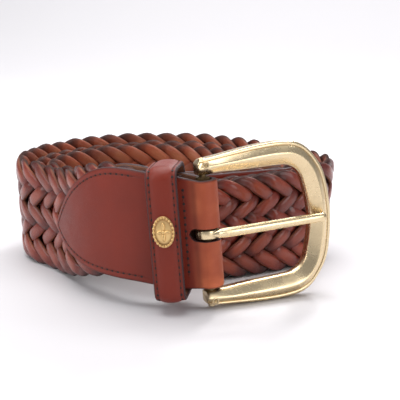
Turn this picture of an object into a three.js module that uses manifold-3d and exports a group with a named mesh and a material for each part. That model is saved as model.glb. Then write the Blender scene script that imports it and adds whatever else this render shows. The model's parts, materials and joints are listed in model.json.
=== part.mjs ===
// A plaited leather belt, rolled up and standing on its edge, with a brass horseshoe buckle.
// Millimetres, +Z up. The buckle bar is at the front right. The strap leaves it to the left, goes round the
// back and on into its own roll. Lengths along the belt are measured from the axis of the bar.
import * as THREE from 'three';
import { mergeVertices } from 'three/addons/utils/BufferGeometryUtils.js';
import Module from 'manifold-3d';

// Strap
const strapWidth = 37;
const strapThickness = 4.2;
const strapLength = 850;
const plaitPitch = 8;
const plaitRootWidth = 34;
const plaitEase = 36;
const petalDepth = 0.7;
const petalShoulder = 0.22;
const strapCorner = 0.9;

// Roll, seen from above, with its middle as the centre of its turns and of the bar's place
const rollSize = 57;
const barAcross = 0.354;
const barAhead = 0.998;
const layerGap = 1.2;
const flare = THREE.MathUtils.degToRad(4.6);
const frontRun = 18;
const settleRun = 72;
const tiltHold = 18;

// Leather tab that folds round the bar, and the tip at the free end
const plyThickness = 1.8;
const tabWidth = 35;
const tabLength = 59;
const archLength = 35;
const archFullness = 2.1;
const archRoundness = 0.85;
const foldWidth = 33.4;
const foldTaper = 9;
const plaitStart = 7;
const tipLength = 100;
const tipBeyondPlait = 26;
const tipEndThickness = 3.4;
const tipRoom = 1.2;
const seamGap = 0.4;

// Keeper loop and its ornament
const keeperPlace = 11;
const keeperWidth = 9.4;
const keeperThickness = 2.1;
const keeperEdgeThickness = 1.5;
const keeperRoom = 5;
const keeperSlack = 1.4;
const keeperBackRoom = 0.9;
const keeperCorner = 2.2;
const ornamentWidth = 6.6;
const ornamentHeight = 9.6;
const ornamentThickness = 1.3;
const ornamentRise = 2;

// Buckle
const buckleLength = 43;
const buckleHeight = 50;
const windowLength = 35.6;
const windowHeight = 35.2;
const buckleBack = 2.4;
const buckleEdge = 1.3;
const buckleRidge = 3;
const buckleYaw = THREE.MathUtils.degToRad(34);
const endTilt = THREE.MathUtils.degToRad(4.2);
const barDiameter = 4.2;
const journalDiameter = 2;
const journalProud = 0.2;
const runningGap = 0.3;

// Prong
const prongDiameter = 3;
const prongReach = 38.9;
const prongEyeWall = 1.5;
const slotClearance = 0.5;
const slotReach = 4.4;

// Roll route: the turn from the front in degrees, and the radius of the strap's middle as a share of rollSize
const rollRoute = [
  { turn: 5, radius: 0.97 },
  { turn: 14.5, radius: 0.928 },
  { turn: 24, radius: 0.88 },
  { turn: 35, radius: 0.828 },
  { turn: 46.5, radius: 0.798 },
  { turn: 56, radius: 0.805 },
  { turn: 64, radius: 0.848 },
  { turn: 70, radius: 0.905 },
  { turn: 77, radius: 0.953 },
  { turn: 85, radius: 0.984 },
  { turn: 93, radius: 0.994 },
  { turn: 101, radius: 0.994 },
  { turn: 109, radius: 0.99 },
  { turn: 120, radius: 0.984 },
  { turn: 140, radius: 0.983 },
  { turn: 158, radius: 0.975 },
  { turn: 180, radius: 0.918 },
  { turn: 200, radius: 0.84 },
  { turn: 220, radius: 0.8 },
  { turn: 240, radius: 0.85 },
  { turn: 256, radius: 0.932 },
  { turn: 269, radius: 0.892 },
  { turn: 280, radius: 0.785 },
  { turn: 291, radius: 0.7 },
  { turn: 304, radius: 0.632 },
  { turn: 320, radius: 0.6 },
  { turn: 335, radius: 0.585 },
  { turn: 350, radius: 0.57 },
  { turn: 370, radius: 0.555 },
  { turn: 390, radius: 0.555 },
  { turn: 407, radius: 0.605 },
  { turn: 424, radius: 0.712 },
];

// How the strap comes down from the buckle to the surface: shares of settleRun and of the lift at the bar
const liftRoute = [
  { along: 0, lift: 1 },
  { along: 0.18, lift: 1.18 },
  { along: 0.3, lift: 1.39 },
  { along: 0.44, lift: 1.35 },
  { along: 0.6, lift: 0.91 },
  { along: 0.77, lift: 0.28 },
  { along: 0.9, lift: 0.03 },
  { along: 1, lift: 0 },
  { along: 1.1, lift: 0 },
];

// Buckle outline from the arm's end to the middle of the bow, as shares of the length and half height
const buckleOutline = [
  { outerX: -0.041, outerZ: 0.862, innerX: -0.05, innerZ: 1.03 },
  { outerX: -0.024, outerZ: 0.9, innerX: -0.03, innerZ: 1.008 },
  { outerX: 0, outerZ: 0.91, innerX: 0, innerZ: 1.005 },
  { outerX: 0.128, outerZ: 0.935, innerX: 0.14, innerZ: 1.015 },
  { outerX: 0.28, outerZ: 0.967, innerX: 0.323, innerZ: 1 },
  { outerX: 0.428, outerZ: 0.992, innerX: 0.492, innerZ: 0.995 },
  { outerX: 0.605, outerZ: 1, innerX: 0.674, innerZ: 0.99 },
  { outerX: 0.73, outerZ: 0.972, innerX: 0.795, innerZ: 0.972 },
  { outerX: 0.814, outerZ: 0.898, innerX: 0.868, innerZ: 0.903 },
  { outerX: 0.893, outerZ: 0.748, innerX: 0.921, innerZ: 0.784 },
  { outerX: 0.949, outerZ: 0.583, innerX: 0.949, innerZ: 0.625 },
  { outerX: 0.984, outerZ: 0.335, innerX: 0.98, innerZ: 0.341 },
  { outerX: 1, outerZ: 0, innerX: 1, innerZ: 0 },
];

const wasm = await Module();
wasm.setup();

// Solids
function skin(rings, looped = false) {
  const sides = rings[0].length;
  const positions = rings.flat().flatMap((point) => point.toArray());
  const index = [];
  const spans = looped ? rings.length : rings.length - 1;
  for (let i = 0; i < spans; i += 1) {
    const near = i * sides;
    const far = ((i + 1) % rings.length) * sides;
    for (let j = 0; j < sides; j += 1) {
      const next = (j + 1) % sides;
      index.push(near + j, far + j, far + next, near + j, far + next, near + next);
    }
  }
  if (!looped) {
    const last = (rings.length - 1) * sides;
    for (let j = 1; j < sides - 1; j += 1) {
      index.push(0, j, j + 1, last, last + j + 1, last + j);
    }
  }
  const corner = (k) => new THREE.Vector3().fromArray(positions, 3 * k);
  let volume = 0;
  for (let k = 0; k < index.length; k += 3) {
    volume += corner(index[k]).dot(corner(index[k + 1]).cross(corner(index[k + 2])));
  }
  if (volume < 0) {
    index.reverse();
  }
  const geometry = new THREE.BufferGeometry();
  geometry.setAttribute('position', new THREE.Float32BufferAttribute(positions, 3));
  geometry.setIndex(index);
  return geometry;
}

function solid(geometry) {
  const plain = geometry.clone();
  plain.deleteAttribute('normal');
  plain.deleteAttribute('uv');
  const merged = mergeVertices(plain, 1e-4);
  return new wasm.Manifold(new wasm.Mesh({
    numProp: 3,
    vertProperties: new Float32Array(merged.attributes.position.array),
    triVerts: new Uint32Array(merged.index.array),
  }));
}

function geometryOf(body) {
  const mesh = body.getMesh();
  const geometry = new THREE.BufferGeometry();
  geometry.setAttribute('position', new THREE.Float32BufferAttribute(mesh.vertProperties, 3));
  geometry.setIndex(Array.from(mesh.triVerts));
  return geometry;
}

// Buckle frame, in its own frame: x from the bar to the bow, y to the back, z along the bar
function buckleFrame() {
  const half = buckleOutline.map((row) => ({
    outer: new THREE.Vector2(row.outerX * buckleLength, row.outerZ * buckleHeight / 2),
    inner: new THREE.Vector2(row.innerX * windowLength, row.innerZ * windowHeight / 2),
  }));
  const mirrored = half.slice(0, -1).reverse().map(({ outer, inner }) => ({
    outer: new THREE.Vector2(outer.x, -outer.y),
    inner: new THREE.Vector2(inner.x, -inner.y),
  }));
  const rings = [...half, ...mirrored].map(({ outer, inner }) => {
    const ridge = outer.clone().lerp(inner, 0.5);
    return [
      new THREE.Vector3(outer.x, buckleBack, outer.y),
      new THREE.Vector3(outer.x, -buckleEdge, outer.y),
      new THREE.Vector3(ridge.x, -buckleRidge, ridge.y),
      new THREE.Vector3(inner.x, -buckleEdge, inner.y),
      new THREE.Vector3(inner.x, buckleBack, inner.y),
    ];
  });
  const bore = new THREE.CylinderGeometry(
    journalDiameter / 2 + runningGap, journalDiameter / 2 + runningGap, 2 * buckleHeight, 20);
  bore.rotateX(Math.PI / 2);
  return geometryOf(solid(skin(rings)).subtract(solid(bore)));
}

function buckleBar() {
  const shoulder = windowHeight / 2 - runningGap;
  const end = buckleOutline[2].outerZ * buckleHeight / 2 + journalProud;
  const profile = [
    [0, -end], [journalDiameter / 2, -end], [journalDiameter / 2, -shoulder], [barDiameter / 2, -shoulder],
    [barDiameter / 2, shoulder], [journalDiameter / 2, shoulder], [journalDiameter / 2, end], [0, end],
  ].map(([radius, height]) => new THREE.Vector2(radius, height));
  return new THREE.LatheGeometry(profile, 20).rotateX(Math.PI / 2);
}

function prong() {
  const radius = prongDiameter / 2;
  const eyeInner = barDiameter / 2 + runningGap;
  const eyeOuter = eyeInner + prongEyeWall;
  const eyeProfile = [
    [eyeInner, -radius], [eyeOuter, -radius], [eyeOuter, radius], [eyeInner, radius], [eyeInner, -radius],
  ].map(([distance, height]) => new THREE.Vector2(distance, height));
  const eye = new THREE.LatheGeometry(eyeProfile, 24).rotateX(Math.PI / 2);
  const root = new THREE.Vector3(eyeInner + seamGap, -(eyeInner + prongEyeWall / 2), 0);
  const rest = new THREE.Vector3(prongReach, -(buckleRidge + runningGap + radius), 0);
  const taper = [
    { along: 0, size: 0.94 }, { along: 0.08, size: 1 }, { along: 0.93, size: 0.97 },
    { along: 0.985, size: 0.85 }, { along: 1, size: 0.5 },
  ];
  const sides = 12;
  const rings = taper.map(({ along, size }) => {
    const centre = root.clone().lerp(rest, along);
    return Array.from({ length: sides }, (_, k) => {
      const angle = 2 * Math.PI * (k + 0.5) / sides;
      return centre.clone().add(new THREE.Vector3(0, Math.cos(angle), Math.sin(angle)).multiplyScalar(radius * size));
    });
  });
  return geometryOf(solid(eye).add(solid(skin(rings))));
}

// How high the bar stands: the lower arm of the tilted buckle touches the surface below
function axesAt(tangent, outward, yaw) {
  const up = tangent.clone().cross(outward);
  const along = tangent.clone().multiplyScalar(-Math.cos(yaw)).addScaledVector(outward, -Math.sin(yaw));
  const inward = up.clone().cross(along);
  return new THREE.Matrix4().makeBasis(along, inward, up);
}

const frameGeometry = buckleFrame();
const startTangent = new THREE.Vector3(-Math.cos(endTilt), 0, -Math.sin(endTilt));
const startOutward = new THREE.Vector3(0, -1, 0);
const tilted = frameGeometry.clone().applyMatrix4(axesAt(startTangent, startOutward, buckleYaw));
tilted.computeBoundingBox();
const barLift = -tilted.boundingBox.min.z - strapWidth / 2;

// Route of the middle of the strap
const plyOffset = strapThickness / 2 + seamGap;
const tabHalfThickness = plyOffset + plyThickness;
const layerPitch = strapThickness + layerGap;
const fullTurn = 360;
const nestTurn = 440;
const routeStep = 6;
const bandStep = 3;
const slitStep = 2;
const routeEnd = 1250;
const tipEase = 50;
const plaitEnd = strapLength - tipBeyondPlait;

// Radius of the strap's middle: the chosen route as far as one turn and a quarter, then each turn lies
// inside the one before it
const radiusRows = rollRoute.map(({ turn, radius }) => new THREE.Vector2(turn, radius * rollSize));
const liftRows = liftRoute.map(({ along, lift }) => new THREE.Vector2(along * settleRun, lift * barLift));

function smoothValue(rows, x) {
  const last = rows.length - 1;
  let i = 0;
  while (i < last - 1 && rows[i + 1].x < x) {
    i += 1;
  }
  const before = rows[Math.max(0, i - 1)];
  const from = rows[i];
  const to = rows[i + 1];
  const after = rows[Math.min(last, i + 2)];
  const span = to.x - from.x;
  const t = THREE.MathUtils.clamp((x - from.x) / span, 0, 1);
  const slopeFrom = (to.y - before.y) / (to.x - before.x) * span;
  const slopeTo = (after.y - from.y) / (after.x - from.x) * span;
  return from.y * (1 + 2 * t) * (1 - t) ** 2 + slopeFrom * t * (1 - t) ** 2
    + to.y * t * t * (3 - 2 * t) + slopeTo * t * t * (t - 1);
}

const tableRadius = (turn) => smoothValue(radiusRows, turn);

function nestedRadius(turn, inset) {
  const step = 2;
  const radius = tableRadius(turn);
  const steepness = (tableRadius(turn + step) - tableRadius(turn - step))
    / THREE.MathUtils.degToRad(2 * step) / radius;
  return radius - inset * Math.hypot(1, steepness);
}

radiusRows.push(new THREE.Vector2(nestTurn, nestedRadius(nestTurn - fullTurn, layerPitch)));

function rollRadius(turn, crowding = 0) {
  if (turn <= nestTurn) {
    return tableRadius(turn);
  }
  const layers = Math.floor((turn - nestTurn) / fullTurn) + 1;
  return nestedRadius(turn - fullTurn * layers, layers * layerPitch + crowding);
}

function routePoint(turn, crowding = 0) {
  const angle = THREE.MathUtils.degToRad(turn);
  const radius = rollRadius(turn, crowding);
  return new THREE.Vector3(-radius * Math.sin(angle), -radius * Math.cos(angle), 0);
}

const barPlace = new THREE.Vector3(barAcross * rollSize, -barAhead * rollSize, 0);

// The turn at which the thicker tip begins, from the length of the roll outside it
function turnAtLength(length) {
  let turn = rollRoute[0].turn;
  let along = routePoint(turn).distanceTo(barPlace);
  while (along < length) {
    along += routePoint(turn).distanceTo(routePoint(turn + 1));
    turn += 1;
  }
  return turn;
}

const tipTurn = turnAtLength(strapLength - tipLength - archLength / 2);

function strapRoute() {
  const points = [0, 0.5, 1].map((share) => new THREE.Vector3(barPlace.x - share * frontRun, barPlace.y, 0));
  for (let turn = rollRoute[0].turn; turn <= routeEnd; turn += routeStep) {
    points.push(routePoint(turn, (tabHalfThickness - strapThickness / 2 + tipRoom)
      * THREE.MathUtils.smoothstep(turn, tipTurn - tipEase, tipTurn)));
  }
  const curve = new THREE.CatmullRomCurve3(points, false, 'centripetal');
  curve.arcLengthDivisions = 4000;
  return curve;
}

const route = strapRoute();
const routeLength = route.getLength();

// Axes of the belt at a length along it: tangent, outward, and up across the strap
function beltAt(along) {
  const share = THREE.MathUtils.clamp(along / routeLength, 0, 1);
  const level = along <= 0 ? new THREE.Vector3(-1, 0, 0) : route.getTangentAt(share);
  const middle = route.getPointAt(share);
  middle.z = strapWidth / 2 + Math.max(0, smoothValue(liftRows, Math.max(along, 0)));
  const tilt = endTilt * (1 - THREE.MathUtils.smoothstep(along, tiltHold, settleRun));
  const tangent = level.clone().multiplyScalar(Math.cos(tilt));
  tangent.z = -Math.sin(tilt);
  middle.addScaledVector(tangent, Math.min(along, 0));
  const outward = new THREE.Vector3(-level.y, level.x, 0);
  const up = tangent.clone().cross(outward);
  const front = -middle.y / Math.hypot(middle.x, middle.y);
  const lean = along <= 0 ? 0 : Math.tan(flare) * (1 - ((1 + front) / 2) ** 2);
  return { middle, tangent, outward, up, lean };
}

function place(along, out, height) {
  const { middle, outward, up, lean } = beltAt(along);
  return middle.clone().addScaledVector(outward, out + lean * height).addScaledVector(up, height);
}

function beltMatrix(along, yaw) {
  const { middle, tangent, outward } = beltAt(along);
  return axesAt(tangent, outward, yaw).setPosition(middle);
}

function stationsBetween(from, to, step) {
  const count = Math.max(1, Math.round((to - from) / step));
  return Array.from({ length: count + 1 }, (_, k) => from + (to - from) * k / count);
}

function band(stations, section) {
  return skin(stations.map((along, k) => section(along, k).map(([out, height]) => place(along, out, height))));
}

function slab(stations, thickness, halfWidth) {
  return band(stations, (along) => {
    const out = thickness(along);
    const height = halfWidth(along);
    return [[out, -height], [out, height], [-out, height], [-out, -height]];
  });
}

// Half width of the plait, which is narrower where it starts inside the tab and where it ends inside the tip
const plaitHalfWidth = (along) => THREE.MathUtils.lerp(plaitRootWidth, strapWidth,
  THREE.MathUtils.smoothstep(along, plaitStart, plaitStart + plaitEase)
  * (1 - THREE.MathUtils.smoothstep(along, plaitEnd - plaitEase, plaitEnd))) / 2;

function braidedStrap() {
  const out = strapThickness / 2;
  const petals = Math.round((plaitEnd - plaitStart) / plaitPitch);
  const stations = stationsBetween(0, petals, 1).slice(0, -1)
    .flatMap((petal) => [petal, petal + petalShoulder, petal + 1 - petalShoulder])
    .map((petal) => plaitStart + petal * (plaitEnd - plaitStart) / petals);
  return band([...stations, plaitEnd], (along, k) => {
    const height = plaitHalfWidth(along) - (k % 3 === 0 ? petalDepth : 0);
    return [
      [out, -height + strapCorner], [out, height - strapCorner], [out - strapCorner, height],
      [-out + strapCorner, height], [-out, height - strapCorner], [-out, -height + strapCorner],
      [-out + strapCorner, -height], [out - strapCorner, -height],
    ];
  });
}

// Half width of an arched leather end, a length in from its tip
const archedEnd = (width, inset) => width / 2
  * (1 - (1 - THREE.MathUtils.clamp(inset / archLength, 0, 1)) ** archFullness) ** archRoundness;

// Stations that crowd towards an arched end
const archStations = (tip, direction) => [0.003, 0.012, 0.03, 0.06, 0.1, 0.16, 0.24, 0.34, 0.46, 0.58, 0.7, 0.84]
  .map((share) => tip + direction * share * archLength);

function buckleTab() {
  const foldStations = (radius) => [12, 30, 50, 70, 90]
    .map((angle) => -radius * Math.cos(THREE.MathUtils.degToRad(angle)));
  const wrapped = (radius) => (along) => along < 0 ? Math.sqrt(radius ** 2 - along ** 2) : radius;
  const halfWidth = (along) => Math.min(
    THREE.MathUtils.lerp(foldWidth, tabWidth, THREE.MathUtils.smoothstep(along, 0, foldTaper)) / 2,
    archedEnd(tabWidth, tabLength - along));
  const outer = [
    ...foldStations(tabHalfThickness),
    ...stationsBetween(bandStep, tabLength - archLength, bandStep),
    ...archStations(tabLength, -1).reverse(),
  ];
  const inner = [...foldStations(plyOffset), ...stationsBetween(bandStep, tabLength + seamGap, bandStep)];
  const slotHalf = prongDiameter / 2 + slotClearance;
  const slot = new THREE.Shape();
  slot.moveTo(-2 * tabHalfThickness, -slotHalf);
  slot.lineTo(slotReach - slotHalf, -slotHalf);
  slot.absarc(slotReach - slotHalf, 0, slotHalf, -Math.PI / 2, Math.PI / 2, false);
  slot.lineTo(-2 * tabHalfThickness, slotHalf);
  slot.closePath();
  const cutter = new THREE.ExtrudeGeometry(
    slot, { depth: 4 * tabHalfThickness, bevelEnabled: false, curveSegments: 6 });
  cutter.translate(0, 0, -2 * tabHalfThickness);
  cutter.rotateX(Math.PI / 2).rotateZ(Math.PI).applyMatrix4(beltMatrix(0, 0));
  return geometryOf(solid(slab(outer, wrapped(tabHalfThickness), halfWidth))
    .subtract(solid(slab(inner, wrapped(plyOffset), () => tabWidth)))
    .subtract(solid(cutter)));
}

function tipTab() {
  const root = strapLength - tipLength;
  const thickness = (along) => THREE.MathUtils.lerp(
    tabHalfThickness, tipEndThickness / 2,
    THREE.MathUtils.smoothstep(along, plaitEnd, strapLength));
  const halfWidth = (along) => Math.min(
    archedEnd(tabWidth, along - root), archedEnd(tabWidth, strapLength - along));
  const outer = [
    ...archStations(root, 1),
    ...stationsBetween(root + archLength, strapLength - archLength, bandStep),
    ...archStations(strapLength, -1).reverse(),
  ];
  const inner = stationsBetween(root - seamGap, plaitEnd + seamGap, slitStep);
  return geometryOf(solid(slab(outer, thickness, halfWidth))
    .subtract(solid(slab(inner, () => plyOffset, () => tabWidth))));
}

// Keeper loop round the tab, with room for the free end in front
const keeperHalfHeight = tabWidth / 2 + keeperSlack;
const keeperFront = tabHalfThickness + keeperRoom;
const keeperBack = tabHalfThickness + keeperBackRoom;

function keeper() {
  const middle = (keeperBack - keeperFront) / 2;
  const halfDepth = (keeperBack + keeperFront) / 2;
  const corners = [[1, 1, 0], [-1, 1, 90], [-1, -1, 180], [1, -1, 270]];
  const path = corners.flatMap(([y, z, start]) => [0, 22.5, 45, 67.5, 90].map((turn) => {
    const angle = THREE.MathUtils.degToRad(start + turn);
    const normal = new THREE.Vector3(0, Math.cos(angle), Math.sin(angle));
    const centre = new THREE.Vector3(
      0, middle + y * (halfDepth - keeperCorner), z * (keeperHalfHeight - keeperCorner));
    return { point: centre.addScaledVector(normal, keeperCorner), normal };
  }));
  const half = keeperWidth / 2;
  const section = [
    [-half, 0], [-half, keeperEdgeThickness], [-half / 2, keeperThickness],
    [half / 2, keeperThickness], [half, keeperEdgeThickness], [half, 0],
  ];
  return skin(path.map(({ point, normal }) => section.map(([across, depth]) => (
    point.clone().addScaledVector(normal, depth).add(new THREE.Vector3(across, 0, 0))))), true);
}

function keeperOrnament() {
  const outline = new THREE.Shape();
  outline.absellipse(0, 0, ornamentWidth / 2 - ornamentThickness / 2,
    ornamentHeight / 2 - ornamentThickness / 2, 0, 2 * Math.PI);
  const plate = new THREE.ExtrudeGeometry(outline, {
    depth: ornamentThickness / 2, curveSegments: 10, bevelEnabled: true, bevelSegments: 2,
    bevelSize: ornamentThickness / 2, bevelThickness: ornamentThickness / 2,
  });
  plate.rotateX(Math.PI / 2).translate(
    0, -(keeperFront + keeperThickness + seamGap + ornamentThickness / 2), ornamentRise);
  return geometryOf(solid(plate));
}

// Finishes
const leather = new THREE.MeshStandardMaterial({ color: 0x9c4f2e, roughness: 0.45, metalness: 0 });
const brass = new THREE.MeshStandardMaterial({ color: 0xb08d4a, roughness: 0.3, metalness: 1 });

const belt = new THREE.Group();
const roll = new THREE.Group();
belt.add(roll);

function addPiece(name, geometry, finish, matrix = new THREE.Matrix4()) {
  const mesh = new THREE.Mesh(geometry, finish.clone());
  mesh.name = name;
  mesh.applyMatrix4(matrix);
  mesh.geometry.computeVertexNormals();
  roll.add(mesh);
}

addPiece('braided_strap', braidedStrap(), leather);
addPiece('buckle_tab', buckleTab(), leather);
addPiece('tip_tab', tipTab(), leather);
addPiece('keeper', keeper(), leather, beltMatrix(keeperPlace, 0));
addPiece('keeper_ornament', keeperOrnament(), brass, beltMatrix(keeperPlace, 0));
addPiece('buckle_frame', frameGeometry, brass, beltMatrix(0, buckleYaw));
addPiece('buckle_bar', buckleBar(), brass, beltMatrix(0, buckleYaw));
addPiece('prong', prong(), brass, beltMatrix(0, buckleYaw));

// The origin is below the middle of the roll, on the surface that the belt stands on
const extent = new THREE.Box3().setFromObject(belt, true);
const middle = extent.getCenter(new THREE.Vector3());
roll.position.set(-middle.x, -middle.y, -extent.min.z);
belt.updateMatrixWorld(true);

export default belt;
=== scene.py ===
"""Looks of a rolled plaited leather belt with a brass horseshoe buckle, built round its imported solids.

Lengths are in millimetres until a mesh is made. Lengths along the belt are measured from the axis of the
buckle's bar, offsets across its thickness from the middle of the strap, and heights from its centreline.
"""
import json
import logging
import math
from collections.abc import Sequence
from dataclasses import dataclass, field
from enum import Enum
from typing import Any, NamedTuple

import bmesh
import bpy
import numpy as np
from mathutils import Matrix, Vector


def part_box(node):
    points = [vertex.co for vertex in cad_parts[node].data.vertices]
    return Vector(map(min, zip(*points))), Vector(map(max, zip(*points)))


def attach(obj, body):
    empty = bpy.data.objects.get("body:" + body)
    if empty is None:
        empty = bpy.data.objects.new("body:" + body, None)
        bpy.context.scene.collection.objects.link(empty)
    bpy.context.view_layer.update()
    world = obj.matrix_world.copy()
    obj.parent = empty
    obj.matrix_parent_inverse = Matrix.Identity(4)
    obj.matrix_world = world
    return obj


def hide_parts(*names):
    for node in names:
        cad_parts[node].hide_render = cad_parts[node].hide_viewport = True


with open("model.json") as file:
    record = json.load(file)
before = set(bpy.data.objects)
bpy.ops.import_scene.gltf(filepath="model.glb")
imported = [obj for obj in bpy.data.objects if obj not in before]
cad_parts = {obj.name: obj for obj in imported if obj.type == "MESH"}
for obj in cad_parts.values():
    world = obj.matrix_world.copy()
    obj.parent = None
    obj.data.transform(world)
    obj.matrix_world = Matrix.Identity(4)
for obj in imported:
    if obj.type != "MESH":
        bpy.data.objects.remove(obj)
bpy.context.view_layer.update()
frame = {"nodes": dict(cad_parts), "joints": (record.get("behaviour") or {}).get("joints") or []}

log = logging.getLogger("belt")
MM = 0.001
Colour = tuple[float, float, float]


class Face(Enum):
    """Which finish a face takes."""

    GRAIN = 0
    EDGE = 1
    FLESH = 2


class RouteRow(NamedTuple):
    """The turn from the front in degrees, and the strap's radius there as a share of the roll's size."""

    turn: float
    radius: float


class LiftRow(NamedTuple):
    """A share of the run over which the strap comes down, and of the bar's lift, there."""

    along: float
    lift: float


class OutlineRow(NamedTuple):
    """Half of the buckle's outline: shares of its length and half height, outside and inside."""

    outer_x: float
    outer_z: float
    inner_x: float
    inner_z: float


class SkinRow(NamedTuple):
    """How a cut leather edge is rounded: the distance in from the edge and the depth below the face."""

    inset: float
    depth: float


class ThreadRow(NamedTuple):
    """A stitch's thread: a share of its length from its middle, and its thickness there as a share."""

    along: float
    thickness: float


class HoleRow(NamedTuple):
    """A pricked hole, drawn as a near-black disc that paints the shade inside it: its radius there as a
    share, and its height on the leather.
    """

    radius: float
    lift: float


class PlateRow(NamedTuple):
    """The ornament's plate: a share of its half size, and of its thickness."""

    reach: float
    lift: float


class PinRow(NamedTuple):
    """A peened pin: its radius and height, and how dark it is there."""

    radius: float
    lift: float
    dark: float


class FrameRow(NamedTuple):
    """The buckle's section: a share of the way from outside to window, and the place back to front."""

    share: float
    depth: float


class ProngRow(NamedTuple):
    """The prong's thickness, as a share, at a share of its length."""

    along: float
    size: float


ROLL_ROUTE = (
    RouteRow(5, 0.97), RouteRow(14.5, 0.928), RouteRow(24, 0.88), RouteRow(35, 0.828),
    RouteRow(46.5, 0.798), RouteRow(56, 0.805), RouteRow(64, 0.848), RouteRow(70, 0.905),
    RouteRow(77, 0.953), RouteRow(85, 0.984), RouteRow(93, 0.994), RouteRow(101, 0.994),
    RouteRow(109, 0.99), RouteRow(120, 0.984), RouteRow(140, 0.983), RouteRow(158, 0.975),
    RouteRow(180, 0.918), RouteRow(200, 0.84), RouteRow(220, 0.8), RouteRow(240, 0.85),
    RouteRow(256, 0.932), RouteRow(269, 0.892), RouteRow(280, 0.785), RouteRow(291, 0.7),
    RouteRow(304, 0.632), RouteRow(320, 0.6), RouteRow(335, 0.585), RouteRow(350, 0.57),
    RouteRow(370, 0.555), RouteRow(390, 0.555), RouteRow(407, 0.605), RouteRow(424, 0.712),
)
LIFT_ROUTE = (
    LiftRow(0, 1), LiftRow(0.18, 1.18), LiftRow(0.3, 1.39), LiftRow(0.44, 1.35), LiftRow(0.6, 0.91),
    LiftRow(0.77, 0.28), LiftRow(0.9, 0.03), LiftRow(1, 0), LiftRow(1.1, 0),
)
BUCKLE_OUTLINE = (
    OutlineRow(-0.041, 0.862, -0.05, 1.03), OutlineRow(-0.024, 0.9, -0.03, 1.008),
    OutlineRow(0, 0.91, 0, 1.005), OutlineRow(0.128, 0.935, 0.14, 1.015),
    OutlineRow(0.28, 0.967, 0.323, 1), OutlineRow(0.428, 0.992, 0.492, 0.995),
    OutlineRow(0.605, 1, 0.674, 0.99), OutlineRow(0.73, 0.972, 0.795, 0.972),
    OutlineRow(0.814, 0.898, 0.868, 0.903), OutlineRow(0.893, 0.748, 0.921, 0.784),
    OutlineRow(0.949, 0.583, 0.949, 0.625), OutlineRow(0.984, 0.335, 0.98, 0.341),
    OutlineRow(1, 0, 1, 0),
)


THREAD_ROWS = (
    ThreadRow(-0.5, 0.1), ThreadRow(-0.46, 0.55), ThreadRow(-0.3, 0.92), ThreadRow(0, 1.0),
    ThreadRow(0.3, 0.92), ThreadRow(0.46, 0.55), ThreadRow(0.5, 0.1),
)
HOLE_ROWS = (
    HoleRow(0.1, -0.2), HoleRow(0.9, -0.1), HoleRow(1.0, 0.02), HoleRow(0.7, 0.08), HoleRow(0.1, 0.09),
)
PLATE_ROWS = (
    PlateRow(0.0, 0.06), PlateRow(0.97, 0.06), PlateRow(1.0, 0.3), PlateRow(0.97, 0.52),
    PlateRow(0.9, 0.6), PlateRow(0.84, 0.5), PlateRow(0.78, 0.42), PlateRow(0.6, 0.5),
    PlateRow(0.35, 0.62), PlateRow(0.0, 0.66),
)
PIN_ROWS = (
    PinRow(1.15, -0.5, 0), PinRow(1.15, 0.08, 0), PinRow(1.02, 0.22, 0), PinRow(0.78, 0.26, 0),
    PinRow(0.6, 0.1, 1), PinRow(0.35, 0, 1), PinRow(0.01, 0, 1),
)
GROOVE_SHARE = 0.175
FRAME_ROWS = (
    FrameRow(0.02, 2.1), FrameRow(0.0, 1.7), FrameRow(0.0, -0.2), FrameRow(0.012, -0.75),
    FrameRow(0.05, -1.16), FrameRow(0.105, -1.3), FrameRow(0.155, -1.26), FrameRow(GROOVE_SHARE, -1.14),
    FrameRow(0.2, -1.36), FrameRow(0.3, -2.02), FrameRow(0.4, -2.62), FrameRow(0.46, -2.9),
    FrameRow(0.5, -2.97), FrameRow(0.54, -2.9), FrameRow(0.6, -2.66), FrameRow(0.72, -2.05),
    FrameRow(0.84, -1.42), FrameRow(0.93, -0.92), FrameRow(0.985, -0.4), FrameRow(1.0, 0.2),
    FrameRow(1.0, 1.7), FrameRow(0.98, 2.1), FrameRow(0.9, 2.36), FrameRow(0.75, 2.4),
    FrameRow(0.25, 2.4), FrameRow(0.1, 2.36),
)
PRONG_ROWS = (
    ProngRow(0, 0.55), ProngRow(0.05, 0.9), ProngRow(0.12, 1.0), ProngRow(0.9, 0.98),
    ProngRow(0.965, 0.93), ProngRow(0.985, 0.82), ProngRow(0.996, 0.62), ProngRow(1.0, 0.3),
)


def circle(sides: int, start: float = 0.0) -> np.ndarray:
    """Angles round a circle, from a start given in steps."""
    return 2 * math.pi * (np.arange(sides) + start) / sides


def smooth_value(rows: Sequence[tuple[float, float]], x: np.ndarray | float) -> np.ndarray:
    """Reads a smooth curve through a table.

    Args:
        rows: places and values, in rising order of place.
        x: the places to read.

    Returns:
        The values there.
    """
    xs, ys = np.array(rows, float).T
    x = np.atleast_1d(np.asarray(x, float))
    i = np.clip(np.searchsorted(xs, x, side="left") - 1, 0, len(xs) - 2)
    before, after = np.maximum(i - 1, 0), np.minimum(i + 2, len(xs) - 1)
    span = xs[i + 1] - xs[i]
    t = np.clip((x - xs[i]) / span, 0, 1)
    slope_from = (ys[i + 1] - ys[before]) / (xs[i + 1] - xs[before]) * span
    slope_to = (ys[after] - ys[i]) / (xs[after] - xs[i]) * span
    return (ys[i] * (1 + 2 * t) * (1 - t) ** 2 + slope_from * t * (1 - t) ** 2
            + ys[i + 1] * t * t * (3 - 2 * t) + slope_to * t * t * (t - 1))


def smooth_step(x: np.ndarray | float, low: float, high: float) -> np.ndarray:
    """Rises smoothly from 0 at low to 1 at high."""
    t = np.clip((np.asarray(x, float) - low) / (high - low), 0, 1)
    return t * t * (3 - 2 * t)


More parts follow.
